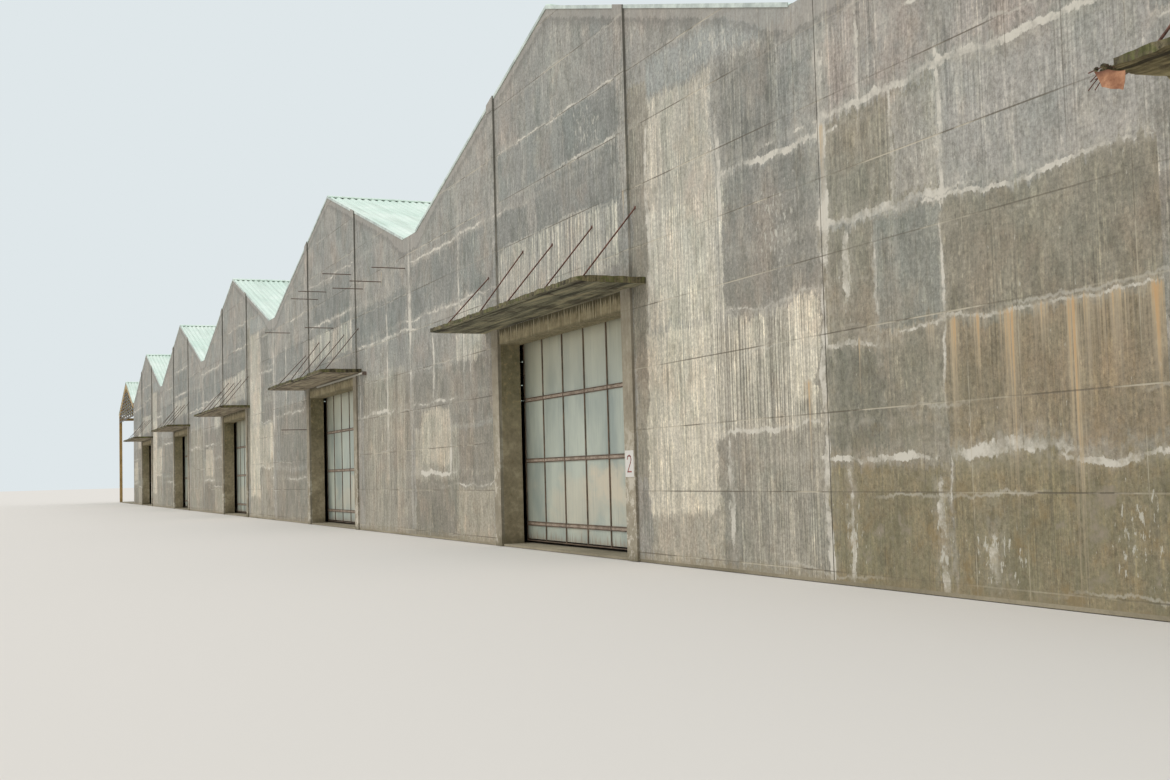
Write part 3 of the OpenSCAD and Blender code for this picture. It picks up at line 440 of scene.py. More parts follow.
# Pilasters.
# Two pilasters a bay stand 5 cm in front of the wall and end in a stub over
# the roof, with the columns behind them that the doorway's reveals show.
# They were cast with the walls and weathered browner beside the doorway.
stub = cast.copy()
stub.name = "cast_pilaster_concrete"
tree = stub.node_tree
shell = tree.nodes["shell"]
ground = shell.inputs["Base Color"].links[0].from_socket
metres = real_metres(tree)
axes = add(tree, "ShaderNodeSeparateXYZ", {0: metres})
facing = add(tree, "ShaderNodeSeparateXYZ",
             {0: add(tree, "ShaderNodeNewGeometry", {}).outputs["True Normal"]})
cloud = add(tree, "ShaderNodeTexNoise", {0: metres, "Scale": 1.4, "Detail": 7.0, "Roughness": 0.7})
grit = add(tree, "ShaderNodeTexNoise", {0: metres, "Scale": 9.0, "Detail": 6.0, "Roughness": 0.75})
# Beside the doorway the faces are browner, mottled, with flakes of an old limewash lower down.
tone = add(tree, "ShaderNodeMapRange", {0: cloud, 1: 0.38, 2: 0.62})
brown = add(tree, "ShaderNodeMix", {0: tone, 6: linear("#8c816b"), 7: linear("#b0a690")}, data_type="RGBA")
beside = add(tree, "ShaderNodeMapRange", {0: axes.outputs["Z"], 1: 5.6, 2: 4.8, 4: 0.75})
ground = add(tree, "ShaderNodeMix", {0: beside, 6: ground, 7: brown}, data_type="RGBA")
flakes = add(tree, "ShaderNodeMath", {0: cloud, 1: grit}, operation="ADD")
flakes = add(tree, "ShaderNodeMapRange", {0: flakes, 1: 1.04, 2: 1.1, 4: 0.75})
low = add(tree, "ShaderNodeMapRange", {0: axes.outputs["Z"], 1: 3.4, 2: 0.9})
flakes = add(tree, "ShaderNodeMath", {0: flakes, 1: low}, operation="MULTIPLY")
ground = add(tree, "ShaderNodeMix", {0: flakes, 6: ground, 7: linear("#d6cfbf")}, data_type="RGBA")
# Painted shade: the narrow flank facing the +X end is darkened as if in shadow, most of all near the roof.
flank_shade = add(tree, "ShaderNodeMath", {0: facing.outputs["X"], 1: 0.5}, operation="GREATER_THAN")
proud = add(tree, "ShaderNodeMath", {0: axes.outputs["Y"], 1: -20.98}, operation="LESS_THAN")
flank_shade = add(tree, "ShaderNodeMath", {0: flank_shade, 1: proud}, operation="MULTIPLY")
wash = add(tree, "ShaderNodeMapRange", {0: axes.outputs["Z"], 1: 5.5, 2: 9.6, 3: 0.35, 4: 0.8})
flank_shade = add(tree, "ShaderNodeMath", {0: flank_shade, 1: wash}, operation="MULTIPLY")
ground = add(tree, "ShaderNodeMix", {0: flank_shade, 6: ground, 7: linear("#62625a")}, data_type="RGBA")
# The reveals are olive-brown, darker and spotted with lichen towards the head beam.
reveal = add(tree, "ShaderNodeMath", {0: axes.outputs["Y"], 1: -20.4, 2: 0.57}, operation="COMPARE")
under_beam = add(tree, "ShaderNodeMath", {0: axes.outputs["Z"], 1: 4.9}, operation="LESS_THAN")
reveal = add(tree, "ShaderNodeMath", {0: reveal, 1: under_beam}, operation="MULTIPLY")
reveal = add(tree, "ShaderNodeMath", {0: reveal, 1: 0.9}, operation="MULTIPLY")
damp = add(tree, "ShaderNodeMath", {0: cloud, 1: 2.2, 2: axes.outputs["Z"]}, operation="MULTIPLY_ADD")
damp = add(tree, "ShaderNodeMapRange", {0: damp, 1: 3.6, 2: 4.8})
dry = add(tree, "ShaderNodeMix", {0: tone, 6: linear("#857b63"), 7: linear("#a4987d")}, data_type="RGBA")
wet = add(tree, "ShaderNodeMix", {0: tone, 6: linear("#706a50"), 7: linear("#928a6c")}, data_type="RGBA")
olive = add(tree, "ShaderNodeMix", {0: damp, 6: dry, 7: wet}, data_type="RGBA")
spots = add(tree, "ShaderNodeMapRange", {0: grit, 1: 0.56, 2: 0.62, 4: 0.6})
spots = add(tree, "ShaderNodeMath", {0: spots, 1: damp}, operation="MULTIPLY")
olive = add(tree, "ShaderNodeMix", {0: spots, 6: olive, 7: linear("#a39169")}, data_type="RGBA")
speck = add(tree, "ShaderNodeMapRange", {0: grit, 1: 0.3, 2: 0.7, 3: -0.28, 4: 0.28})
olive = add(tree, "ShaderNodeMix", {0: speck, 6: olive, 7: DOUBLE}, data_type="RGBA", blend_type="MULTIPLY",
            clamp_factor=False)
ground = add(tree, "ShaderNodeMix", {0: reveal, 6: ground, 7: olive}, data_type="RGBA")
foot = add(tree, "ShaderNodeMath", {0: cloud, 1: 0.5, 2: axes.outputs["Z"]}, operation="MULTIPLY_ADD")
foot = add(tree, "ShaderNodeMapRange", {0: foot, 1: 0.5, 2: 0.28, 4: 0.7})
ground = add(tree, "ShaderNodeMix", {0: foot, 6: ground, 7: linear("#6d6650")}, data_type="RGBA")
tree.links.new(ground.outputs[2], shell.inputs["Base Color"])
give_finish(stub, "pilasters", "rear_pilasters")


# Floor.
# One floor of concrete runs under the whole row and shows as a pale strip at the foot of the
# walls. It was floated smooth, and mud has browned it.
# Floated concrete is smoother than the walls, and still matt.
floated, tree = finish_material("floated_floor_concrete")
metres = real_metres(tree)
patch = add(tree, "ShaderNodeTexNoise", {0: metres, "Scale": 0.4, "Detail": 7.0, "Roughness": 0.65})
patch = add(tree, "ShaderNodeMapRange", {0: patch, 1: 0.35, 2: 0.65})
ground = add(tree, "ShaderNodeMix", {0: patch, 6: linear("#7e755f"), 7: linear("#a39982")},
             data_type="RGBA")
grit = add(tree, "ShaderNodeTexNoise", {0: metres, "Scale": 18.0, "Detail": 5.0, "Roughness": 0.7})
mottle = add(tree, "ShaderNodeMapRange", {0: grit, 1: 0.3, 2: 0.7, 3: 0.86, 4: 1.1})
ground = add(tree, "ShaderNodeVectorMath", {0: ground, 1: mottle}, operation="MULTIPLY")
bump = add(tree, "ShaderNodeBump", {"Strength": 0.35, "Distance": 0.001, "Height": grit})
shell = add(tree, "ShaderNodeBsdfPrincipled", {"Base Color": ground, "Roughness": 0.85, "Normal": bump})
add(tree, "ShaderNodeOutputMaterial", {0: shell})
give_finish(floated, "floor_slab")


# Canopies and door heads.
# Each canopy is a concrete slab 1.4 m deep and 13 cm thick, cast with the head beam under it. Rain has worn
# its edges, moss grows on them, and the soffit is streaked black. Two slabs have lost pieces of their edge.
# Wet old concrete is dark, lumpy and without gloss.
mossy, tree = finish_material("mossy_canopy_concrete")
metres = real_metres(tree)
axes = add(tree, "ShaderNodeSeparateXYZ", {0: metres})
facing = add(tree, "ShaderNodeSeparateXYZ",
             {0: add(tree, "ShaderNodeNewGeometry", {}).outputs["True Normal"]})
blot = add(tree, "ShaderNodeTexNoise", {0: metres, "Scale": 1.6, "Detail": 7.0, "Roughness": 0.7})
grit = add(tree, "ShaderNodeTexNoise", {0: metres, "Scale": 15.0, "Detail": 6.0, "Roughness": 0.75})
# Soffit: board marks and soot streaks along the slab, 5 to 15 cm apart. The slabs further along are drier.
marks_at = add(tree, "ShaderNodeVectorMath", {0: metres, 1: (0.45, 6.0, 1.0)}, operation="MULTIPLY")
marks = add(tree, "ShaderNodeTexNoise", {0: marks_at, "Scale": 1.0, "Detail": 5.0, "Roughness": 0.7})
board = add(tree, "ShaderNodeMapRange", {0: marks, 1: 0.4, 2: 0.56})
damp_soffit = add(tree, "ShaderNodeMix", {0: board, 6: linear("#49483c"), 7: linear("#959178")},
                  data_type="RGBA")
dry_soffit = add(tree, "ShaderNodeMix", {0: board, 6: linear("#857a69"), 7: linear("#b0a48f")},
                 data_type="RGBA")
dry_row = add(tree, "ShaderNodeMapRange", {0: axes.outputs["X"], 1: 30.0, 2: 24.0})
soffit = add(tree, "ShaderNodeMix", {0: dry_row, 6: damp_soffit, 7: dry_soffit}, data_type="RGBA")
tan_soffit = add(tree, "ShaderNodeMix", {0: board, 6: linear("#6f6547"), 7: linear("#a79a72")},
                 data_type="RGBA")
first_slab = add(tree, "ShaderNodeMapRange", {0: axes.outputs["X"], 1: 50.0, 2: 52.0, 4: 0.8})
soffit = add(tree, "ShaderNodeMix", {0: first_slab, 6: soffit, 7: tan_soffit}, data_type="RGBA")
soot = add(tree, "ShaderNodeMapRange", {0: blot, 1: 0.5, 2: 0.6, 4: 0.65})
soffit = add(tree, "ShaderNodeMix", {0: soot, 6: soffit, 7: linear("#3f362c")}, data_type="RGBA")
cream = add(tree, "ShaderNodeMapRange", {0: marks, 1: 0.57, 2: 0.62, 4: 0.6})
soffit = add(tree, "ShaderNodeMix", {0: cream, 6: soffit, 7: linear("#b3a888")}, data_type="RGBA")
# A drip groove runs 15 cm behind the front edge.
groove = add(tree, "ShaderNodeMath", {0: axes.outputs["Y"], 1: -22.25, 2: 0.035}, operation="COMPARE")
groove = add(tree, "ShaderNodeMath", {0: groove, 1: 0.75}, operation="MULTIPLY")
soffit = add(tree, "ShaderNodeMix", {0: groove, 6: soffit, 7: linear("#2b271d")}, data_type="RGBA")
# Edges and top: wet brown concrete, with moss in patches.
wet = add(tree, "ShaderNodeMapRange", {0: blot, 1: 0.4, 2: 0.6})
rim = add(tree, "ShaderNodeMix", {0: wet, 6: linear("#4b4535"), 7: linear("#7c7358")}, data_type="RGBA")
moss_spread = add(tree, "ShaderNodeTexNoise", {0: metres, "Scale": 3.2, "Detail": 7.0, "Roughness": 0.8})
moss = add(tree, "ShaderNodeMapRange", {0: moss_spread, 1: 0.5, 2: 0.57, 4: 0.75})
rim = add(tree, "ShaderNodeMix", {0: moss, 6: rim, 7: linear("#585e33")}, data_type="RGBA")
black = add(tree, "ShaderNodeMapRange", {0: moss_spread, 1: 0.46, 2: 0.42, 4: 0.7})
rim = add(tree, "ShaderNodeMix", {0: black, 6: rim, 7: linear("#38352a")}, data_type="RGBA")
drips_at = add(tree, "ShaderNodeVectorMath", {0: metres, 1: (22, 22, 2)}, operation="MULTIPLY")
drips = add(tree, "ShaderNodeTexNoise", {0: drips_at, "Scale": 1.0, "Detail": 3.0})
drips = add(tree, "ShaderNodeMapRange", {0: drips, 1: 0.36, 2: 0.64, 3: 0.65, 4: 1.3})
rim = add(tree, "ShaderNodeVectorMath", {0: rim, 1: drips}, operation="MULTIPLY")
down = add(tree, "ShaderNodeMath", {0: facing.outputs["Z"], 1: -0.6}, operation="LESS_THAN")
ground = add(tree, "ShaderNodeMix", {0: down, 6: rim, 7: soffit}, data_type="RGBA")
mottle = add(tree, "ShaderNodeMapRange", {0: grit, 1: 0.3, 2: 0.7, 3: 0.75, 4: 1.2})
ground = add(tree, "ShaderNodeVectorMath", {0: ground, 1: mottle}, operation="MULTIPLY")
lumps = add(tree, "ShaderNodeMath", {0: grit, 1: moss_spread}, operation="ADD")
bump = add(tree, "ShaderNodeBump", {"Strength": 0.8, "Distance": 0.002, "Height": lumps})
shell = add(tree, "ShaderNodeBsdfPrincipled",
            {"Base Color": ground, "Roughness": 0.92, "Normal": bump, "Specular IOR Level": 0.3})
add(tree, "ShaderNodeOutputMaterial", {0: shell})

# The head beams are matt concrete, olive-cream, darkened along their tops by a painted shadow of the canopy,
# with black drips from the joint under it.
drip, tree = finish_material("stained_head_beam_concrete")
metres = real_metres(tree)
axes = add(tree, "ShaderNodeSeparateXYZ", {0: metres})
runs_at = add(tree, "ShaderNodeVectorMath", {0: metres, 1: (13, 13, 0.4)}, operation="MULTIPLY")
runs = add(tree, "ShaderNodeTexNoise", {0: runs_at, "Scale": 1.0, "Detail": 5.0, "Roughness": 0.7})
blot = add(tree, "ShaderNodeTexNoise", {0: metres, "Scale": 2.0, "Detail": 7.0, "Roughness": 0.75})
tone = add(tree, "ShaderNodeMapRange", {0: blot, 1: 0.38, 2: 0.62})
ground = add(tree, "ShaderNodeMix", {0: tone, 6: linear("#7d7357"), 7: linear("#aea283")}, data_type="RGBA")
wash = add(tree, "ShaderNodeMapRange", {0: runs, 1: 0.46, 2: 0.4, 4: 0.8})
ground = add(tree, "ShaderNodeMix", {0: wash, 6: ground, 7: linear("#cfc5a9")}, data_type="RGBA")
# Painted shadow of the canopy darkens the top of each beam, and black drips run down out of it, in one mask.
height = add(tree, "ShaderNodeMapRange", {0: axes.outputs["Z"], 1: 4.75, 2: 5.14, 3: -0.28, 4: 0.14})
height = add(tree, "ShaderNodeMath", {0: height, 1: runs}, operation="ADD")
soot = add(tree, "ShaderNodeMapRange", {0: height, 1: 0.46, 2: 0.54, 4: 0.85})
ground = add(tree, "ShaderNodeMix", {0: soot, 6: ground, 7: linear("#4a4532")}, data_type="RGBA")
brim = add(tree, "ShaderNodeMapRange", {0: axes.outputs["Z"], 1: 4.8, 2: 4.76, 4: 0.4})
ground = add(tree, "ShaderNodeMix", {0: brim, 6: ground, 7: linear("#5f5842")}, data_type="RGBA")
grit = add(tree, "ShaderNodeTexNoise", {0: metres, "Scale": 16.0, "Detail": 6.0, "Roughness": 0.75})
bump = add(tree, "ShaderNodeBump", {"Strength": 0.6, "Distance": 0.0012, "Height": grit})
shell = add(tree, "ShaderNodeBsdfPrincipled",
            {"Base Color": ground, "Roughness": 0.9, "Normal": bump, "Specular IOR Level": 0.3})
add(tree, "ShaderNodeOutputMaterial", {0: shell})
give_finish(drip, "door_lintels")

CANOPY_HALF, CANOPY_OUT, CANOPY_FOOT, CANOPY_TOP = 0.446, 0.140, 0.512, 0.525
# The first slab hangs 21 cm higher, and has lost its left end. How much of it is gone, by share of the depth:
LIFTS = (0.021, 0, 0, 0, 0, 0)
LOST_END = ((0, 0.3, 0.45, 0.7, 0.86, 1), (0.054, 0.049, 0.058, 0.053, 0.062, 0.068))
# The third has a bitten front edge: places along it, and the share of the full depth that is left.
BITTEN = ((-1.0, -0.09, -0.04, 0.13, 0.29, 0.48, 0.58, 1.0), (1.0, 1.0, 0.93, 0.96, 0.89, 0.96, 1.0, 1.0))


def set_out(name, data):
    """An object of this mesh, lamp or camera, set out in the scene."""
    thing = bpy.data.objects.new(name, data)
    bpy.context.scene.collection.objects.link(thing)
    return thing


def closed_mesh(name, points, faces, material):
    """An object of these points and faces, doubles merged and faces turned outwards."""
    mesh = bpy.data.meshes.new(name)
    mesh.from_pydata(points, [], faces)
    work = bmesh.new()
    work.from_mesh(mesh)
    bmesh.ops.remove_doubles(work, verts=work.verts, dist=1e-6)
    bmesh.ops.recalc_face_normals(work, faces=work.faces)
    work.to_mesh(mesh)
    work.free()
    mesh.materials.append(material)
    return set_out(name, mesh)


points, faces = [], []
COLUMNS, ROWS = 150, 16
for bay, door in enumerate(DOORS):
    start = len(points)
    for column in range(COLUMNS + 1):
        share = column / COLUMNS * 2 - 1
        along_edge = door + share * CANOPY_HALF
        out = CANOPY_OUT * float(np.interp(share, *BITTEN)) if bay == 2 else CANOPY_OUT
        chipped = noise.noise(Vector((along_edge * 60, bay * 7.1, 0.3))) * 0.0016
        chipped += noise.noise(Vector((along_edge * 190, bay * 3.7, 5.0))) * 0.0012
        worn = max(0.0, noise.noise(Vector((along_edge * 14, bay * 5.0, 9.0)))) * 0.005
        out = out - 0.0016 - worn + chipped
        for row in range(ROWS + 1):
            depth = out * row / ROWS
            lost = float(np.interp(row / ROWS, *LOST_END)) if bay == 0 else 0.0
            lost += 0.004 * noise.noise(Vector((bay * 9.0, row * 0.9, 3.0))) if bay == 0 else 0.0
            x = door - CANOPY_HALF + lost + (share + 1) * (CANOPY_HALF - lost / 2)
            y = FRONT - depth
            near_edge = max(0.0, 1 - (out - depth) / 0.02, 1 - (1 + share) / 0.03 if bay == 0 else 0.0)
            crumbled = 0.0022 * noise.noise(Vector((x * 45, y * 45, 2.0)))
            top = CANOPY_TOP - 0.0006 - near_edge * (0.0022 + crumbled)
            top += 0.0008 * noise.noise(Vector((x * 120, y * 120, 7.0)))
            crumbled = 0.0016 * noise.noise(Vector((x * 70, y * 30, 4.0)))
            foot = CANOPY_FOOT + 0.0004 + near_edge * (0.0016 + crumbled)
            foot += 0.0006 * noise.noise(Vector((x * 20, y * 110, 1.0)))
            points += [(x, y, top + LIFTS[bay]), (x, y, foot + LIFTS[bay])]
    width = (ROWS + 1) * 2
    for column in range(COLUMNS):
        for row in range(ROWS):
            a = start + column * width + row * 2
            b, c, d = a + width, a + width + 2, a + 2
            faces += [(a, b, c, d), (a + 1, d + 1, c + 1, b + 1)]
        for a, b in ((start + column * width, start + (column + 1) * width),
                     (start + column * width + ROWS * 2, start + (column + 1) * width + ROWS * 2)):
            faces.append((a, a + 1, b + 1, b))
    for a in (start, start + COLUMNS * width):
        faces += [(a + row * 2, a + row * 2 + 1, a + row * 2 + 3, a + row * 2 + 2) for row in range(ROWS)]
slabs = closed_mesh("canopy_slabs", points, faces, mossy)
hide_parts("canopies")
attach(slabs, "building")


# Hanger rods and wall arms.
# Steel bars 3 cm thick hang each canopy from the wall, and bare arms of the same bar stand out of the third
# bay. None has been painted for years: they are rust all over, with dust on it along the further bays.
# Old rust is dark brown, pitted and dull, with little metal left to shine.
rusty, tree = finish_material("rusted_bar_steel")
metres = real_metres(tree)
scale_patch = add(tree, "ShaderNodeTexNoise", {0: metres, "Scale": 9.0, "Detail": 6.0, "Roughness": 0.7})
patch = add(tree, "ShaderNodeMapRange", {0: scale_patch, 1: 0.38, 2: 0.62})
ground = add(tree, "ShaderNodeMix", {0: patch, 6: linear("#523a31"), 7: linear("#80584a")},
             data_type="RGBA")
dust = add(tree, "ShaderNodeSeparateXYZ", {0: metres})
dust = add(tree, "ShaderNodeMapRange", {0: dust.outputs["X"], 1: 34.0, 2: 29.0, 4: 0.65})
ground = add(tree, "ShaderNodeMix", {0: dust, 6: ground, 7: linear("#777065")}, data_type="RGBA")
pits = add(tree, "ShaderNodeTexNoise", {0: metres, "Scale": 60.0, "Detail": 4.0, "Roughness": 0.7})
dull = add(tree, "ShaderNodeMapRange", {0: pits, 1: 0.3, 2: 0.7, 3: 0.65, 4: 0.95})
bump = add(tree, "ShaderNodeBump", {"Strength": 0.6, "Distance": 0.0004, "Height": pits})
shell = add(tree, "ShaderNodeBsdfPrincipled",
            {"Base Color": ground, "Roughness": dull, "Metallic": 0.25, "Normal": bump})
add(tree, "ShaderNodeOutputMaterial", {0: shell})
give_finish(rusty, "canopy_rods", "wall_arms", "door_tracks")

# Reinforcing bars 1.2 cm thick stick out of the first canopy's broken end, bent where the concrete fell away.
BROKEN_END, BAR_TALL, BAR_RADIUS = 5.62, 0.5395, 0.0006
bars, lumps_at = [], []
for turn in range(9):
    depth = 0.1 + 0.0044 * turn + 0.002 * noise.noise(Vector((turn * 3.3, 1.0, 0.0)))
    reach = 0.018 + 0.026 * abs(noise.noise(Vector((turn * 5.1, 2.0, 0.0))))
    reach += 0.008 if turn % 3 == 0 else 0.0
    sag = 0.3 + 1.3 * noise.noise(Vector((turn * 2.7, 3.0, 0.0)))
    path = []
    for k in range(6):
        bend = (k / 5) ** 2
        x, y = BROKEN_END - reach * k / 5, FRONT - depth - 0.001 * bend
        path.append(Vector((x, y, BAR_TALL - sag * reach * bend)))
    bars.append(path)
    size = 0.0022 + 0.002 * abs(noise.noise(Vector((turn * 1.9, 8.0, 0.0))))
    lumps_at += [(path[1 + turn % 3], size), (path[1], 0.003)]
points, faces = [], []
for path in bars:
    start = len(points)
    for spot in path:
        for k in range(6):
            angle = k * math.pi / 3
            points.append(spot + BAR_RADIUS * Vector((0, math.cos(angle), math.sin(angle))))
    for ring in range(5):
        a = start + ring * 6
        faces += [(a + k, a + (k + 1) % 6, a + 6 + (k + 1) % 6, a + 6 + k) for k in range(6)]
    faces += [tuple(start + k for k in range(6)), tuple(start + 35 - k for k in range(6))]
scrap = closed_mesh("broken_canopy_bars", points, faces, rusty)
# A strip of thin sheet, rusted orange and matt, has come away and hangs from the corner.
orange, tree = finish_material("orange_rusted_thin_sheet")
metres = real_metres(tree)
patch = add(tree, "ShaderNodeTexNoise", {0: metres, "Scale": 7.0, "Detail": 6.0, "Roughness": 0.7})
patch = add(tree, "ShaderNodeMapRange", {0: patch, 1: 0.35, 2: 0.6})
ground = add(tree, "ShaderNodeMix", {0: patch, 6: linear("#8a5b40"), 7: linear("#bb8a68")},
             data_type="RGBA")
# Painted shade darkens the strip's top few centimetres.
top_crease_shade = add(tree, "ShaderNodeSeparateXYZ", {0: metres})
top_crease_shade = add(tree, "ShaderNodeMapRange", {0: top_crease_shade.outputs["Z"], 1: 5.27, 2: 5.33, 4: 0.8})
ground = add(tree, "ShaderNodeMix", {0: top_crease_shade, 6: ground, 7: linear("#5a3226")}, data_type="RGBA")
shell = add(tree, "ShaderNodeBsdfPrincipled", {"Base Color": ground, "Roughness": 0.85, "Metallic": 0.1})
add(tree, "ShaderNodeOutputMaterial", {0: shell})
points, faces = [], []
for skin in (0.0, -0.0004):
    for row in range(5):
        for column in range(7):
            u, v = column / 6, row / 4
            x = 5.607 + 0.037 * u + 0.013 * v * (1 - u)
            curl = 0.004 * v * v + 0.0015 * math.sin(u * 5)
            z = 0.5365 - 0.009 * u - 0.019 * v + 0.002 * noise.noise(Vector((u * 3, v * 3, 4.0)))
            points.append(Vector((x, FRONT - 0.1395 - curl + skin, z)))
for row in range(4):
    for a in range(row * 7, row * 7 + 6):
        faces += [(a, a + 1, a + 8, a + 7), (a + 35, a + 42, a + 43, a + 36)]
ring = [*range(7), *range(13, 35, 7), *range(33, 27, -1), *range(21, 0, -7)]
faces += [(a, b, b + 35, a + 35) for a, b in zip(ring, ring[1:] + ring[:1])]
hanging = closed_mesh("broken_canopy_sheet", points, faces, orange)
# Lumps of concrete still cling to the bars.
rubble = bmesh.new()
for turn, (spot, size) in enumerate(lumps_at):
    made = bmesh.ops.create_icosphere(rubble, subdivisions=2, radius=size, matrix=Matrix.Translation(spot))
    for corner in made["verts"]:
        corner.co += (corner.co - spot) * 0.7 * noise.noise(corner.co * 260 + Vector((turn, 0, 0)))
mesh = bpy.data.meshes.new("broken_canopy_lumps")
rubble.to_mesh(mesh)
rubble.free()
mesh.materials.append(mossy)
lumps = set_out("broken_canopy_lumps", mesh)
for piece, slot in ((scrap, "rusted_steel"), (hanging, "rusted_steel"), (lumps, "stained_concrete")):
    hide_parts("canopies")
    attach(piece, "building")


def solid_boxes(boxes, shrink=0.0):
    """Points and faces of boxes given by low and high corners, their edges taken off by shrink."""
    points, faces = [], []
    for low, high in boxes:
        start = len(points)
        levels = ((low[2], shrink), (low[2] + shrink, 0.0), (high[2] - shrink, 0.0), (high[2], shrink))
        for z, inset in levels:
            points += [(low[0] + inset, low[1] + inset, z), (high[0] - inset, low[1] + inset, z),
                       (high[0] - inset, high[1] - inset, z), (low[0] + inset, high[1] - inset, z)]
        faces.append([start + k for k in (3, 2, 1, 0)])
        for ring in range(3):
            a = start + ring * 4
            faces += [(a + k, a + (k + 1) % 4, a + 4 + (k + 1) % 4, a + 4 + k) for k in range(4)]
        faces.append([start + 12 + k for k in range(4)])
    return points, faces


# A pale batten of bare, greyed wood is fixed across the pilasters under the third canopy, with a dark
# bracket at its right end.
batten, tree = finish_material("pale_weathered_batten")
spot = add(tree, "ShaderNodeTexCoord", {}).outputs["Object"]
grain_at = add(tree, "ShaderNodeVectorMath", {0: spot, 1: (2, 40, 40)}, operation="MULTIPLY")
grain = add(tree, "ShaderNodeTexNoise", {0: grain_at, "Scale": 1.0, "Detail": 5.0, "Roughness": 0.6})
ground = add(tree, "ShaderNodeMix", {0: grain, 6: linear("#8e8b80"), 7: linear("#cfccbf")},
             data_type="RGBA")
shell = add(tree, "ShaderNodeBsdfPrincipled", {"Base Color": ground, "Roughness": 0.8})
add(tree, "ShaderNodeOutputMaterial", {0: shell})
points, faces = solid_boxes([((1.63, -2.1115, 0.5035), (2.312, -2.1052, 0.5095))], 0.0006)
batten_strip = closed_mesh("canopy_batten", points, faces, batten)
points, faces = solid_boxes([((2.308, -2.1135, 0.4995), (2.3155, -2.1, 0.5115))], 0.0006)
bracket = closed_mesh("batten_bracket", points, faces, rusty)
for piece, slot in ((batten_strip, "stained_concrete"), (bracket, "rusted_steel")):
    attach(piece, "building")


def growing_tree(name, lengths, counts=()):
    """A Geometry Nodes tree that takes points and these named sizes, and gives a mesh."""
    group = bpy.data.node_groups.new(name, "GeometryNodeTree")
    group.interface.new_socket("Geometry", in_out="INPUT", socket_type="NodeSocketGeometry")
    for label in lengths:
        group.interface.new_socket(label, in_out="INPUT", socket_type="NodeSocketFloat")
    for label in counts:
        group.interface.new_socket(label, in_out="INPUT", socket_type="NodeSocketInt")
    group.interface.new_socket("Geometry", in_out="OUTPUT", socket_type="NodeSocketGeometry")
    return group, add(group, "NodeGroupInput", {}).outputs


def set_at_points(group, points, shape, material):
    """Ends a tree: the shape stands at every point, as real geometry in one material."""
    spread = add(group, "GeometryNodeInstanceOnPoints", {"Points": points, "Instance": shape})
    real = add(group, "GeometryNodeRealizeInstances", {0: spread})
    finished = add(group, "GeometryNodeSetMaterial", {"Geometry": real, "Material": material})
    add(group, "NodeGroupOutput", {0: finished})


def grown(spots, group, sizes, name, material):
    """What the tree makes at these spots with these sizes of its named inputs, as a plain mesh."""
    mesh = bpy.data.meshes.new("spots")
    mesh.from_pydata(spots, [], [])
    seeds = set_out("spots", mesh)
    modifier = seeds.modifiers.new("grow", "NODES")
    modifier.node_group = group
    for item in group.interface.items_tree:
        if item.item_type == "SOCKET" and item.in_out == "INPUT" and item.name in sizes:
            modifier[item.identifier] = sizes[item.name]
    seeds.update_tag()
    bpy.context.view_layer.update()
    shape = seeds.evaluated_get(bpy.context.evaluated_depsgraph_get())
    mesh = bpy.data.meshes.new_from_object(shape)
    seeds.modifiers.remove(modifier)
    bpy.data.objects.remove(seeds)
    mesh.materials.clear()
    mesh.materials.append(material)
    return set_out(name, mesh)


# A plate with a hexagon nut holds the head of each bar to the wall: Geometry Nodes set one at each.
plates, given = growing_tree("plate_and_nut", ("Plate width", "Plate thickness", "Nut radius"))
plate_size = add(plates, "ShaderNodeCombineXYZ",
                 {0: given["Plate width"], 1: given["Plate thickness"], 2: given["Plate width"]})
plate = add(plates, "GeometryNodeMeshCube", {"Size": plate_size})
nut = add(plates, "GeometryNodeMeshCylinder",
          {"Vertices": 6, "Radius": given["Nut radius"], "Depth": given["Nut radius"]})
nut = add(plates, "GeometryNodeTransform",
          {"Geometry": nut.outputs["Mesh"], "Rotation": (math.pi / 2, 0, 0)})
nut_off = add(plates, "ShaderNodeMath", {0: given["Nut radius"], 1: -0.5}, operation="MULTIPLY")
nut_off = add(plates, "ShaderNodeCombineXYZ", {1: nut_off})
nut = add(plates, "GeometryNodeTransform", {"Geometry": nut, "Translation": nut_off})
both = plates.nodes.new("GeometryNodeJoinGeometry")
plates.links.new(plate.outputs["Mesh"], both.inputs[0])
plates.links.new(nut.outputs[0], both.inputs[0])
set_at_points(plates, given["Geometry"], both, rusty)
ROD_PLACES = (-0.410, -0.175, 0.0, 0.211, 0.410)
ROD_HEADS = (0.644, 0.671, 0.658, 0.659, 0.660)
spots = [(door + x, FRONT, z) for door in DOORS[1:] for x, z in zip(ROD_PLACES, ROD_HEADS)]
# The first canopy's bars stand higher with it, and the one at its broken end is fixed to the pilaster.
PILASTER_ROD, PILASTER_OUT = -0.356, 0.005
spots.append((DOORS[0] + PILASTER_ROD, FRONT - PILASTER_OUT, ROD_HEADS[0] + LIFTS[0]))
spots += [(DOORS[0] + x, FRONT, z + LIFTS[0]) for x, z in zip(ROD_PLACES[1:], ROD_HEADS[1:])]
sizes = {"Plate width": 0.006, "Plate thickness": 0.002, "Nut radius": 0.0018}
fixings = grown(spots, plates, sizes, "rod_wall_plates", rusty)
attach(fixings, "building")


# Number plate.
# A white enamelled steel plate is fixed to the pilaster right of the second doorway.
# It carries a plain number brushed on in red, and has chipped here and there.


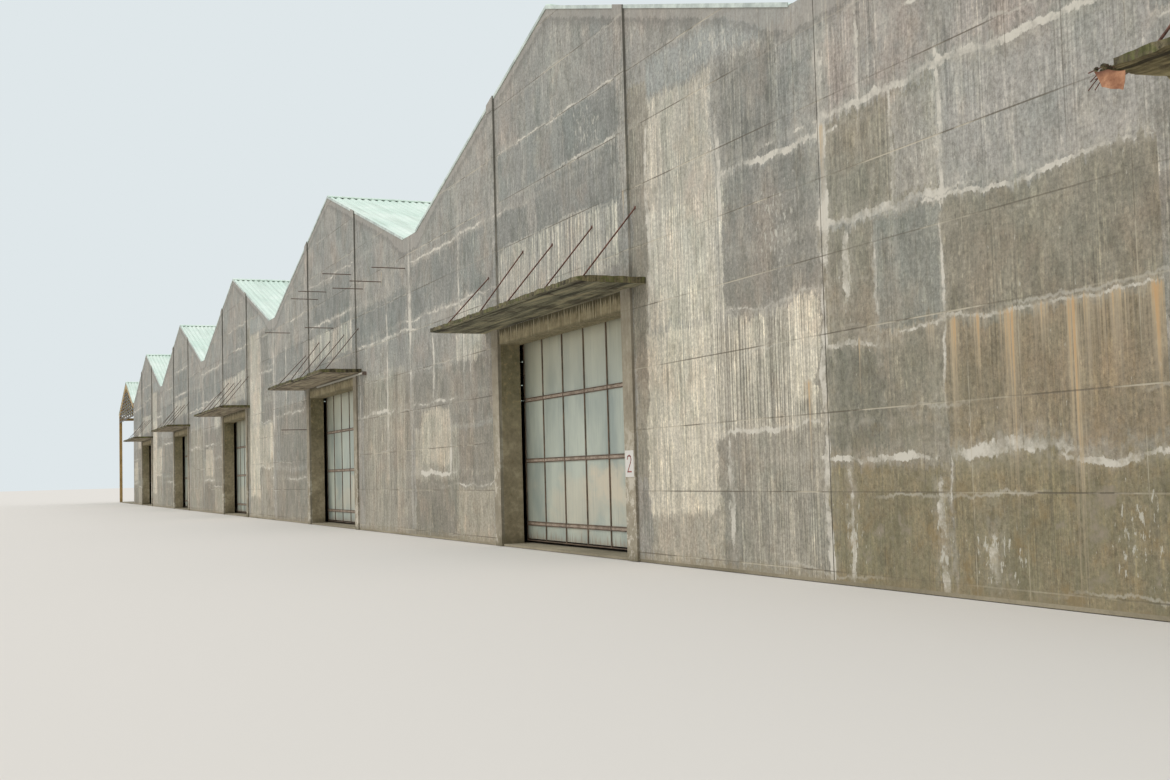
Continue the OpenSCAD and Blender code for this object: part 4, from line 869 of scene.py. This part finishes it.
def patchy_finish(name, colours, noise_sizes, spread, shine):
    """A material that turns in patches from the first colour to the second. noise_sizes are turns a metre
    and detail, and spread is the range of the noise in which the patches come in, and how fully."""
    material, tree = finish_material(name)
    scale, detail = noise_sizes
    patch = add(tree, "ShaderNodeTexNoise",
                {0: real_metres(tree), "Scale": scale, "Detail": detail, "Roughness": 0.7})
    start, full, share = spread
    patch = add(tree, "ShaderNodeMapRange", {0: patch, 1: start, 2: full, 4: share})
    plain, patched = (linear(colour) for colour in colours)
    ground = add(tree, "ShaderNodeMix", {0: patch, 6: plain, 7: patched}, data_type="RGBA")
    shell = add(tree, "ShaderNodeBsdfPrincipled", {"Base Color": ground, **shine})
    add(tree, "ShaderNodeOutputMaterial", {0: shell})
    return material


# Enamel is smooth and keeps a soft gloss, with dull brown chips a few centimetres wide.
enamel = patchy_finish("chipped_white_enamel", ("#dcd8d0", "#9b8a78"), (14.0, 5.0), (0.62, 0.7, 0.7),
                       {"Roughness": 0.45})
give_finish(enamel, "number_plate")
# Brushed paint is thin in places, so its red is uneven and half matt.
brushed, tree = finish_material("brushed_red_paint")
metres = real_metres(tree)
thin = add(tree, "ShaderNodeTexNoise", {0: metres, "Scale": 25.0, "Detail": 3.0})
ground = add(tree, "ShaderNodeMix", {0: thin, 6: linear("#8d3a36"), 7: linear("#a85a50")}, data_type="RGBA")
shell = add(tree, "ShaderNodeBsdfPrincipled", {"Base Color": ground, "Roughness": 0.6})
add(tree, "ShaderNodeOutputMaterial", {0: shell})
low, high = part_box("number_plate")
middle_x, middle_z, face_y = (low[0] + high[0]) / 2, (low[2] + high[2]) / 2, low[1]
# The figure 2, a path of brush strokes in hundredths of the plate's height.
STROKE = ((-16, 18), (-12, 27), (0, 31), (12, 27), (16, 16), (11, 4), (0, -10), (-15, -30), (16, -30))
points, faces = [], []
for (x0, z0), (x1, z1) in zip(STROKE, STROKE[1:]):
    run = Vector((x1 - x0, z1 - z0)).normalized() * 2.6
    side = Vector((-run.y, run.x))
    start = len(points)
    for y in (face_y - 0.0002, face_y):
        for x, z in ((x0 - run.x + side.x, z0 - run.y + side.y), (x1 + run.x + side.x, z1 + run.y + side.y),
                     (x1 + run.x - side.x, z1 + run.y - side.y),
                     (x0 - run.x - side.x, z0 - run.y - side.y)):
            points.append((middle_x + x * 0.0005, y, middle_z + z * 0.0005))
    faces += [(start, start + 3, start + 2, start + 1), (start + 4, start + 5, start + 6, start + 7)]
    faces += [(start + k, start + (k + 1) % 4, start + 4 + (k + 1) % 4, start + 4 + k) for k in range(4)]
figure = closed_mesh("plate_figure", points, faces, brushed)
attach(figure, "building")


# Frame inside.
# Square columns stand along the valleys and carry the wide rain gutters, which
# are cast in place as troughs. The concrete is plain and drier than outside.
# Dry cast concrete is an even matt grey with fine grit.
plain, tree = finish_material("plain_cast_concrete")
metres = real_metres(tree)
cloud = add(tree, "ShaderNodeTexNoise", {0: metres, "Scale": 1.0, "Detail": 7.0, "Roughness": 0.65})
tone = add(tree, "ShaderNodeMapRange", {0: cloud, 1: 0.35, 2: 0.65})
ground = add(tree, "ShaderNodeMix", {0: tone, 6: linear("#8c8a82"), 7: linear("#aaa79c")}, data_type="RGBA")
grit = add(tree, "ShaderNodeTexNoise", {0: metres, "Scale": 16.0, "Detail": 6.0, "Roughness": 0.75})
mottle = add(tree, "ShaderNodeMapRange", {0: grit, 1: 0.3, 2: 0.7, 3: 0.86, 4: 1.1})
ground = add(tree, "ShaderNodeVectorMath", {0: ground, 1: mottle}, operation="MULTIPLY")
bump = add(tree, "ShaderNodeBump", {"Strength": 0.4, "Distance": 0.001, "Height": grit})
shell = add(tree, "ShaderNodeBsdfPrincipled", {"Base Color": ground, "Roughness": 0.9, "Normal": bump})
add(tree, "ShaderNodeOutputMaterial", {0: shell})
give_finish(plain, "valley_columns", "gutter_floors", "gutter_sides")


# Roof steel.
# Rafters of rolled steel and light purlins carry the sheets.
# They are in grey primer with rust breaking through.
# Primer is a flat grey coat, and where it has failed the rust is brown.
primer = patchy_finish("grey_primer_on_rolled_steel", ("#8a8d8c", "#80584a"), (2.5, 6.0), (0.58, 0.7, 0.7),
                       {"Roughness": 0.6, "Metallic": 0.1})
give_finish(primer, "purlins", "rafters_left", "rafters_right")


# Roof sheets.
# Box-ribbed steel sheets, coated pale green, run from ridge to gutter. The ribs are
# 5 cm deep and 25 cm apart. Ridge caps and edge flashings are folded from flat sheet.
# The coating is smooth and has a soft sheen, bleached in patches and grimy where rain runs down.
coated, tree = finish_material("pale_green_coated_sheet")
metres = real_metres(tree)
bleach = add(tree, "ShaderNodeTexNoise", {0: metres, "Scale": 0.5, "Detail": 6.0, "Roughness": 0.6})
bleach = add(tree, "ShaderNodeMapRange", {0: bleach, 1: 0.35, 2: 0.65})
ground = add(tree, "ShaderNodeMix", {0: bleach, 6: linear("#d0e6d8"), 7: linear("#e6f3e8")},
             data_type="RGBA")
runs_at = add(tree, "ShaderNodeVectorMath", {0: metres, 1: (0.25, 5.0, 0.25)}, operation="MULTIPLY")
runs = add(tree, "ShaderNodeTexNoise", {0: runs_at, "Scale": 1.0, "Detail": 4.0})
grime = add(tree, "ShaderNodeMapRange", {0: runs, 1: 0.52, 2: 0.7, 4: 0.5})
ground = add(tree, "ShaderNodeMix", {0: grime, 6: ground, 7: linear("#adbdae")}, data_type="RGBA")
shell = add(tree, "ShaderNodeBsdfPrincipled", {"Base Color": ground, "Roughness": 0.42})
add(tree, "ShaderNodeOutputMaterial", {0: shell})
give_finish(coated, "ridge_caps")
# The flashings have weathered greyer and duller in the wind along the gables.
flashed = patchy_finish("weathered_flashing_sheet", ("#a9b3ac", "#d5dfd6"), (1.8, 6.0), (0.4, 0.62, 1.0),
                        {"Roughness": 0.5})
give_finish(flashed, "rake_flashings")

# One tree makes a ribbed sheet down a slope and sets it at every ridge point that it is given.
SLOPE_SIZES = ("Run", "Side", "Fall", "Length", "Rib depth", "Sheet thickness")
ribbed, given = growing_tree("ribbed_roof_slope", SLOPE_SIZES, ("Ribs",))
steps = add(ribbed, "ShaderNodeMath", {0: given["Ribs"], 1: 4.0}, operation="MULTIPLY")
lines = add(ribbed, "ShaderNodeMath", {0: steps, 1: 1.0}, operation="ADD")
sheet = add(ribbed, "GeometryNodeMeshGrid",
            {"Size X": given["Run"], "Size Y": given["Length"], "Vertices X": 2, "Vertices Y": lines})
at = add(ribbed, "ShaderNodeSeparateXYZ", {0: add(ribbed, "GeometryNodeInputPosition", {})})
half_run = add(ribbed, "ShaderNodeMath", {0: given["Run"], 1: 0.5}, operation="MULTIPLY")
down_slope = add(ribbed, "ShaderNodeMath", {0: at.outputs["X"], 1: half_run}, operation="ADD")
step = add(ribbed, "ShaderNodeMath", {0: given["Length"], 1: steps}, operation="DIVIDE")
count = add(ribbed, "ShaderNodeMath", {0: at.outputs["Y"], 1: step}, operation="DIVIDE")
count = add(ribbed, "ShaderNodeMath", {0: count}, operation="ROUND")
count = add(ribbed, "ShaderNodeMath", {0: count, 1: 4.0}, operation="FLOORED_MODULO")
count = add(ribbed, "ShaderNodeMath", {0: count, 1: 1.5}, operation="SUBTRACT")
count = add(ribbed, "ShaderNodeMath", {0: count}, operation="ABSOLUTE")
crest = add(ribbed, "ShaderNodeMath", {0: count, 1: 1.0}, operation="LESS_THAN")
crest = add(ribbed, "ShaderNodeMath", {0: crest, 1: given["Rib depth"]}, operation="MULTIPLY")
drop = add(ribbed, "ShaderNodeMath", {0: down_slope, 1: given["Fall"]}, operation="MULTIPLY")
height = add(ribbed, "ShaderNodeMath", {0: crest, 1: drop}, operation="SUBTRACT")
out = add(ribbed, "ShaderNodeMath", {0: down_slope, 1: given["Side"]}, operation="MULTIPLY")
moved = add(ribbed, "ShaderNodeCombineXYZ", {0: out, 1: at.outputs["Y"], 2: height})
shaped = add(ribbed, "GeometryNodeSetPosition", {"Geometry": sheet.outputs["Mesh"], "Position": moved})
upper = add(ribbed, "GeometryNodeExtrudeMesh",
            {"Mesh": shaped, "Offset": (0, 0, 1), "Offset Scale": given["Sheet thickness"],
             "Individual": False})
under = add(ribbed, "GeometryNodeFlipFaces", {0: shaped})
skins = ribbed.nodes.new("GeometryNodeJoinGeometry")
ribbed.links.new(upper.outputs["Mesh"], skins.inputs[0])
ribbed.links.new(under.outputs[0], skins.inputs[0])
closed = add(ribbed, "GeometryNodeMergeByDistance", {"Geometry": skins, "Distance": 0.000001})
set_at_points(ribbed, given["Geometry"], closed, coated)

# Each slope: where its ridges stand, how high, how far the sheets run out from them and how fast they fall.
# The ridges stand over the doorways. The first bay's right slope runs on over the end wall.
RIDGE, END_RIDGE, END_BAY = 1.178, 1.092, [-6.3]
RIGHT_FALL, LEFT_FALL, END_FALL = 0.314 / 0.957, 0.314 / 1.013, 0.228 / 0.665
ROOF_LONG, RIB_PITCH = 4.2, 0.025
SLOPES = {
    "roof_sheets_left": ((DOORS, RIDGE, 1.013, LEFT_FALL), (END_BAY, END_RIDGE, 0.76, END_FALL)),
    "roof_sheets_right": ((DOORS[1:], RIDGE, 0.957, RIGHT_FALL), (DOORS[:1], RIDGE, 1.052, RIGHT_FALL),
                          (END_BAY, END_RIDGE, 0.665, END_FALL)),
}
for node, slopes in SLOPES.items():
    side = -1.0 if node.endswith("left") else 1.0
    joined = bmesh.new()
    for ridges, z, run, fall in slopes:
        spots = [(x, 0.0, z + 0.0002) for x in ridges]
        sizes = {"Run": run, "Side": side, "Fall": fall, "Length": ROOF_LONG, "Rib depth": 0.0042,
                 "Sheet thickness": 0.0006, "Ribs": round(ROOF_LONG / RIB_PITCH)}
        part = grown(spots, ribbed, sizes, "slope", coated)
        joined.from_mesh(part.data)
        bpy.data.objects.remove(part)
    bmesh.ops.recalc_face_normals(joined, faces=joined.faces)
    mesh = bpy.data.meshes.new(node + "_ribbed")
    joined.to_mesh(mesh)
    joined.free()
    mesh.materials.append(coated)
    sheets = set_out("ribbed_" + node, mesh)
    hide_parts(node)
    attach(sheets, "building")


# Open end bay.
# The open bay is steel: square posts, a beam and rafters in ochre
# paint, and fixed louvre blades of dark painted board in both gables.
# Gloss paint that has dulled in the sun, chipped down to the rust.
ochre, tree = finish_material("ochre_gloss_paint_on_steel")
metres = real_metres(tree)
fade = add(tree, "ShaderNodeTexNoise", {0: metres, "Scale": 1.5, "Detail": 6.0, "Roughness": 0.7})
chips = add(tree, "ShaderNodeMapRange", {0: fade, 1: 0.62, 2: 0.7, 4: 0.8})
fade = add(tree, "ShaderNodeMapRange", {0: fade, 1: 0.3, 2: 0.6})
ground = add(tree, "ShaderNodeMix", {0: fade, 6: linear("#9c7f4c"), 7: linear("#bd9c61")}, data_type="RGBA")
ground = add(tree, "ShaderNodeMix", {0: chips, 6: ground, 7: linear("#6e4c35")}, data_type="RGBA")
shell = add(tree, "ShaderNodeBsdfPrincipled", {"Base Color": ground, "Roughness": 0.5})
add(tree, "ShaderNodeOutputMaterial", {0: shell})
give_finish(ochre, "end_bay_posts", "end_bay_beam", "end_rafters_left", "end_rafters_right")
give_finish(ochre, "louvre_uprights")
# The paint on the boards is thin, so their grain shows along them.
boarded, tree = finish_material("dark_painted_louvre_board")
spot = add(tree, "ShaderNodeTexCoord", {}).outputs["Object"]
grain_at = add(tree, "ShaderNodeVectorMath", {0: spot, 1: (3, 60, 60)}, operation="MULTIPLY")
grain = add(tree, "ShaderNodeTexNoise", {0: grain_at, "Scale": 1.0, "Detail": 5.0, "Roughness": 0.6})
ground = add(tree, "ShaderNodeMix", {0: grain, 6: linear("#3f3a33"), 7: linear("#6b6357")},
             data_type="RGBA")
shell = add(tree, "ShaderNodeBsdfPrincipled", {"Base Color": ground, "Roughness": 0.7})
add(tree, "ShaderNodeOutputMaterial", {0: shell})
give_finish(boarded, "louvre_blades")


# Sliding door leaves.
# Each leaf hangs from a track behind the wall: flat steel sheets 1.2 m wide, painted grey-blue, riveted to
# uprights of rolled channel and to rails of paired angles, with two straps and grooved wheels at its head.
# Thin paint on flat sheet: it shines a little where rain keeps it clean, and is chalky elsewhere.
painted, tree = finish_material("grey_blue_painted_sheet")
metres = real_metres(tree)
axes = add(tree, "ShaderNodeSeparateXYZ", {0: metres})
fade_at = add(tree, "ShaderNodeVectorMath", {0: metres, 1: (1.1, 1, 0.45)}, operation="MULTIPLY")
fade = add(tree, "ShaderNodeTexNoise", {0: fade_at, "Scale": 1.0, "Detail": 4.0, "Roughness": 0.55})
fade = add(tree, "ShaderNodeMapRange", {0: fade, 1: 0.35, 2: 0.65})
ground = add(tree, "ShaderNodeMix", {0: fade, 6: linear("#9fa9a0"), 7: linear("#c4cabb")}, data_type="RGBA")
# The head of each leaf has yellowed in the shelter of the beam.
shelter = add(tree, "ShaderNodeMapRange", {0: axes.outputs["Z"], 1: 3.2, 2: 4.9, 4: 0.68})
ground = add(tree, "ShaderNodeMix", {0: shelter, 6: ground, 7: linear("#cbc3a6")}, data_type="RGBA")
# A painted reflection of the ground in the glossy paint: a cream patch on the lower
# sheets right of each leaf's middle, and a fainter haze beside it.
from_leaf = add(tree, "ShaderNodeMath",
                {0: axes.outputs["X"], 1: DOOR_2 + BAY / 2, 2: DOOR_2 - BAY / 2}, operation="WRAP")
reflection_haze_at = add(tree, "ShaderNodeVectorMath", {0: metres, 1: (0.8, 1, 1.2)}, operation="MULTIPLY")
reflection_haze = add(tree, "ShaderNodeTexNoise", {0: reflection_haze_at, "Scale": 1.0, "Detail": 5.0, "Roughness": 0.6})
for middle, height, reach, rise, share in ((40.3, 1.4, 1.7, 0.55, 0.75), (39.0, 1.1, 3.6, 0.8, 0.45)):
    ground_reflection = add(tree, "ShaderNodeCombineXYZ", {0: from_leaf, 2: axes.outputs["Z"]})
    ground_reflection = add(tree, "ShaderNodeVectorMath", {0: ground_reflection, 1: (middle, 0, height)}, operation="SUBTRACT")
    ground_reflection = add(tree, "ShaderNodeVectorMath", {0: ground_reflection, 1: (1 / reach, 0, 1 / rise)}, operation="MULTIPLY")
    ground_reflection = add(tree, "ShaderNodeVectorMath", {0: ground_reflection}, operation="LENGTH")
    ground_reflection = add(tree, "ShaderNodeMath", {0: reflection_haze, 1: -2.4, 2: ground_reflection}, operation="MULTIPLY_ADD")
    ground_reflection = add(tree, "ShaderNodeMapRange", {0: ground_reflection, 1: -0.2, 2: -0.9, 4: share},
              interpolation_type="SMOOTHSTEP")
    ground = add(tree, "ShaderNodeMix", {0: ground_reflection, 6: ground, 7: linear("#dacdb4")}, data_type="RGBA")
# Rain has run down the paint in pale and dark threads, and rust bleeds from the foot rail.
runs_at = add(tree, "ShaderNodeVectorMath", {0: metres, 1: (12, 12, 0.5)}, operation="MULTIPLY")
runs = add(tree, "ShaderNodeTexNoise", {0: runs_at, "Scale": 1.0, "Detail": 5.0, "Roughness": 0.65})
chalky = add(tree, "ShaderNodeMapRange", {0: runs, 1: 0.55, 2: 0.7, 4: 0.35})
ground = add(tree, "ShaderNodeMix", {0: chalky, 6: ground, 7: linear("#dcdfd2")}, data_type="RGBA")
streak = add(tree, "ShaderNodeMapRange", {0: runs, 1: 0.3, 2: 0.45, 3: 0.45, 4: 0.0})
ground = add(tree, "ShaderNodeMix", {0: streak, 6: ground, 7: linear("#838c83")}, data_type="RGBA")
bleed = add(tree, "ShaderNodeMapRange", {0: axes.outputs["Z"], 1: 0.6, 2: 0.15, 3: -0.3, 4: 0.12})
bleed = add(tree, "ShaderNodeMath", {0: bleed, 1: runs}, operation="ADD")
bleed = add(tree, "ShaderNodeMapRange", {0: bleed, 1: 0.5, 2: 0.64, 4: 0.6})
ground = add(tree, "ShaderNodeMix", {0: bleed, 6: ground, 7: linear("#94795f")}, data_type="RGBA")
dull = add(tree, "ShaderNodeMapRange", {0: runs, 1: 0.3, 2: 0.7, 3: 0.34, 4: 0.55})
shell = add(tree, "ShaderNodeBsdfPrincipled", {"Base Color": ground, "Roughness": dull, "Metallic": 0.15})
add(tree, "ShaderNodeOutputMaterial", {0: shell})

# The uprights are rusted brown and matt, and the rails keep a chalky coat of old paint.
channel = patchy_finish("rusted_door_channel", ("#574a3d", "#7e6a57"), (5.0, 6.0), (0.38, 0.62, 1.0),
                        {"Roughness": 0.75, "Metallic": 0.1})
railed = patchy_finish("faded_rail_paint", ("#8e7d6c", "#b8a795"), (4.0, 6.0), (0.38, 0.62, 1.0),
                       {"Roughness": 0.7})

# The sheets' face lies 3.5 mm behind the frontmost point of the leaf's node. Depths are from that face.
leaf_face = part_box("door_leaf_1")[0][1] + 0.0035
LEAF_HALF, LEAF_FOOT, LEAF_TOP = 0.360, 0.010, 0.500
RAILS, RAIL_TALL, RAIL_EDGE = (0.010, 0.046, 0.194, 0.338, 0.490), 0.010, 0.0022
UPRIGHT_WIDE = 0.004
UPRIGHTS = [-LEAF_HALF + k * (2 * LEAF_HALF - UPRIGHT_WIDE) / 6 for k in range(7)]
STRAP_HALF, STRAP_LONG = 0.006, 0.06
WHEEL_X, WHEEL_Z, WHEEL_R = 0.300, 0.5403, 0.0078
# One tree sets a round-headed rivet at every point that it is given.
rivets, given = growing_tree("rivet_heads", ("Head radius",))
head = add(rivets, "GeometryNodeMeshUVSphere", {"Segments": 6, "Rings": 4, "Radius": given["Head radius"]})
set_at_points(rivets, given["Geometry"], head.outputs["Mesh"], channel)
for bay, door in enumerate(DOORS):
    node, body = f"door_leaf_{bay + 1}", f"leaf_{bay + 1}"
    # Sheets, a little buckled between the rails.
    points, faces = [], []
    for left, right in zip(UPRIGHTS, UPRIGHTS[1:]):
        for foot, head in zip(RAILS, RAILS[1:]):
            start = len(points)
            for skin in (0.0, 0.003):
                for row in range(9):
                    for column in range(7):
                        u, v = column / 6, row / 8
                        x = door + left + UPRIGHT_WIDE / 2 + (right - left) * u
                        z = foot + RAIL_TALL / 2 + (head - foot) * v
                        belly = math.sin(math.pi * u) * math.sin(math.pi * v)
                        buckle = belly * (0.0006 * noise.noise(Vector((x * 9, bay * 4.0, z * 9))) + 0.0002)
                        points.append((x, leaf_face + 0.0008 + skin - buckle, z))
            for row in range(8):
                for column in range(6):
                    a = start + row * 7 + column
                    faces += [(a, a + 1, a + 8, a + 7), (a + 63, a + 70, a + 71, a + 64)]
            ring = [start + k for k in range(7)] + [start + 6 + 7 * k for k in range(1, 9)]
            ring += [start + 62 - k for k in range(1, 7)] + [start + 56 - 7 * k for k in range(1, 8)]
            faces += [(a, b, b + 63, a + 63) for a, b in zip(ring, ring[1:] + ring[:1])]
    panels = closed_mesh(f"leaf_{bay + 1}_sheets", points, faces, painted)
    # Uprights and the edges of the rails.
    boxes = [((door + x, leaf_face - 0.0012, LEAF_FOOT),
              (door + x + UPRIGHT_WIDE, leaf_face + 0.0048, LEAF_TOP)) for x in UPRIGHTS]
    for z in RAILS:
        for low_z in (z, z + RAIL_TALL - RAIL_EDGE)[: 1 if z == LEAF_FOOT else 2]:
            boxes.append(((door - LEAF_HALF, leaf_face - 0.0020, low_z),
                          (door + LEAF_HALF, leaf_face + 0.0046, low_z + RAIL_EDGE)))
    for side in (-1, 1):
        x = door + side * WHEEL_X
        boxes.append(((x - STRAP_HALF, leaf_face + 0.0048, LEAF_TOP - STRAP_LONG),
                      (x + STRAP_HALF, leaf_face + 0.008, WHEEL_Z + 0.005)))
    points, faces = solid_boxes(boxes, 0.0003)
    # Wheels: a grooved rim turned from steel, on a short pin.
    profile = ((0.0024, -0.0016), (WHEEL_R - 0.0006, -0.0016), (WHEEL_R, -0.0012), (WHEEL_R, -0.0009),
               (WHEEL_R - 0.0012, 0.0), (WHEEL_R, 0.0009), (WHEEL_R, 0.0012), (WHEEL_R - 0.0006, 0.0016),
               (0.0024, 0.0016), (0.0024, 0.0085), (0.0, 0.0085), (0.0, -0.0016))
    for side in (-1, 1):
        start, turns = len(points), 20
        for turn in range(turns):
            angle = 2 * math.pi * turn / turns
            for radius, y in profile:
                points.append((door + side * WHEEL_X + radius * math.cos(angle), leaf_face - 0.002 + y,
                               WHEEL_Z + radius * math.sin(angle)))
        count = len(profile)
        for turn in range(turns):
            a, b = start + turn * count, start + (turn + 1) % turns * count
            faces += [(a + k, a + (k + 1) % count, b + (k + 1) % count, b + k) for k in range(count)]
    frames = closed_mesh(f"leaf_{bay + 1}_channels", points, faces, channel)
    # The web of each rail is sunk between its two edges.
    boxes = [((door - LEAF_HALF + 0.001, leaf_face - 0.0006, z + RAIL_EDGE),
              (door + LEAF_HALF - 0.001, leaf_face + 0.0044, z + RAIL_TALL - RAIL_EDGE)) for z in RAILS[1:]]
    points, faces = solid_boxes(boxes, 0.0002)
    webs = closed_mesh(f"leaf_{bay + 1}_rails", points, faces, railed)
    # Rivets stand 3 cm apart in the model along every rail.
    rivet_x, rivet_y = door - LEAF_HALF + 0.02, leaf_face - 0.0007
    spots = [(rivet_x + 0.03 * k, rivet_y, z + RAIL_TALL / 2) for z in RAILS for k in range(24)]
    studs = grown(spots, rivets, {"Head radius": 0.0009}, f"leaf_{bay + 1}_rivets", channel)
    for piece in (panels, frames, webs, studs):
        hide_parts(node)
        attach(piece, body)


# Stage.
# A pale floor, an even white surround and one broad soft lamp high in front of the left end.
ground_mesh = bpy.data.meshes.new("studio_floor")
corners = [(x, y, -0.001) for x, y in ((-60, -60), (60, -60), (60, 60), (-60, 60))]
ground_mesh.from_pydata(corners, [], [(0, 1, 2, 3)])
studio, tree = finish_material("pale_studio_floor")
shell = add(tree, "ShaderNodeBsdfDiffuse", {"Color": linear("#dedbd5")})
add(tree, "ShaderNodeOutputMaterial", {0: shell})
ground_mesh.materials.append(studio)
studio_floor = set_out("studio_floor", ground_mesh)

sky = bpy.data.worlds.new("studio_sky")
sky.use_nodes = True
tree = sky.node_tree
tree.nodes.clear()
rays = add(tree, "ShaderNodeLightPath", {}).outputs
seen = add(tree, "ShaderNodeMath", {0: rays["Is Camera Ray"], 1: rays["Is Glossy Ray"]},
           operation="MAXIMUM")
seen = add(tree, "ShaderNodeMath", {0: seen, 1: rays["Is Transmission Ray"]}, operation="MAXIMUM")
lit = add(tree, "ShaderNodeBackground", {0: linear("#ffffff"), 1: 0.85})
shown = add(tree, "ShaderNodeBackground", {0: linear("#dfe7ea"), 1: 1.0})
both = add(tree, "ShaderNodeMixShader", {0: seen, 1: lit, 2: shown})
add(tree, "ShaderNodeOutputWorld", {0: both})
bpy.context.scene.world = sky

lamp = bpy.data.lights.new("soft_lamp", "SUN")
lamp.energy = 0.9
lamp.angle = math.radians(40)
LIGHT_GOES = Vector((0.35, 0.75, -1.0))
lamp_holder = set_out("soft_lamp", lamp)
lamp_holder.rotation_euler = LIGHT_GOES.to_track_quat("-Z", "Y").to_euler()

lens = bpy.data.cameras.new("view")
lens.sensor_width = 36
lens.lens = 41.54
lens.clip_start = 0.02
lens.clip_end = 200
# The camera's own directions and its place, from the vanishing lines of the photograph.
RIGHT = (0.40041765, 0.91593344, -0.02704877)
UP = (0.06635213, 0.0004592, 0.99779616)
AHEAD = (-0.9139273, 0.40132994, 0.06059026)
EYE = (6.56898, -3.20088, 0.16876)
camera = set_out("view", lens)
turned = [(right, up, -ahead, eye) for right, up, ahead, eye in zip(RIGHT, UP, AHEAD, EYE)]
camera.matrix_world = Matrix(turned + [(0, 0, 0, 1)])
bpy.context.scene.camera = camera
bpy.context.scene.view_settings.view_transform = "Standard"
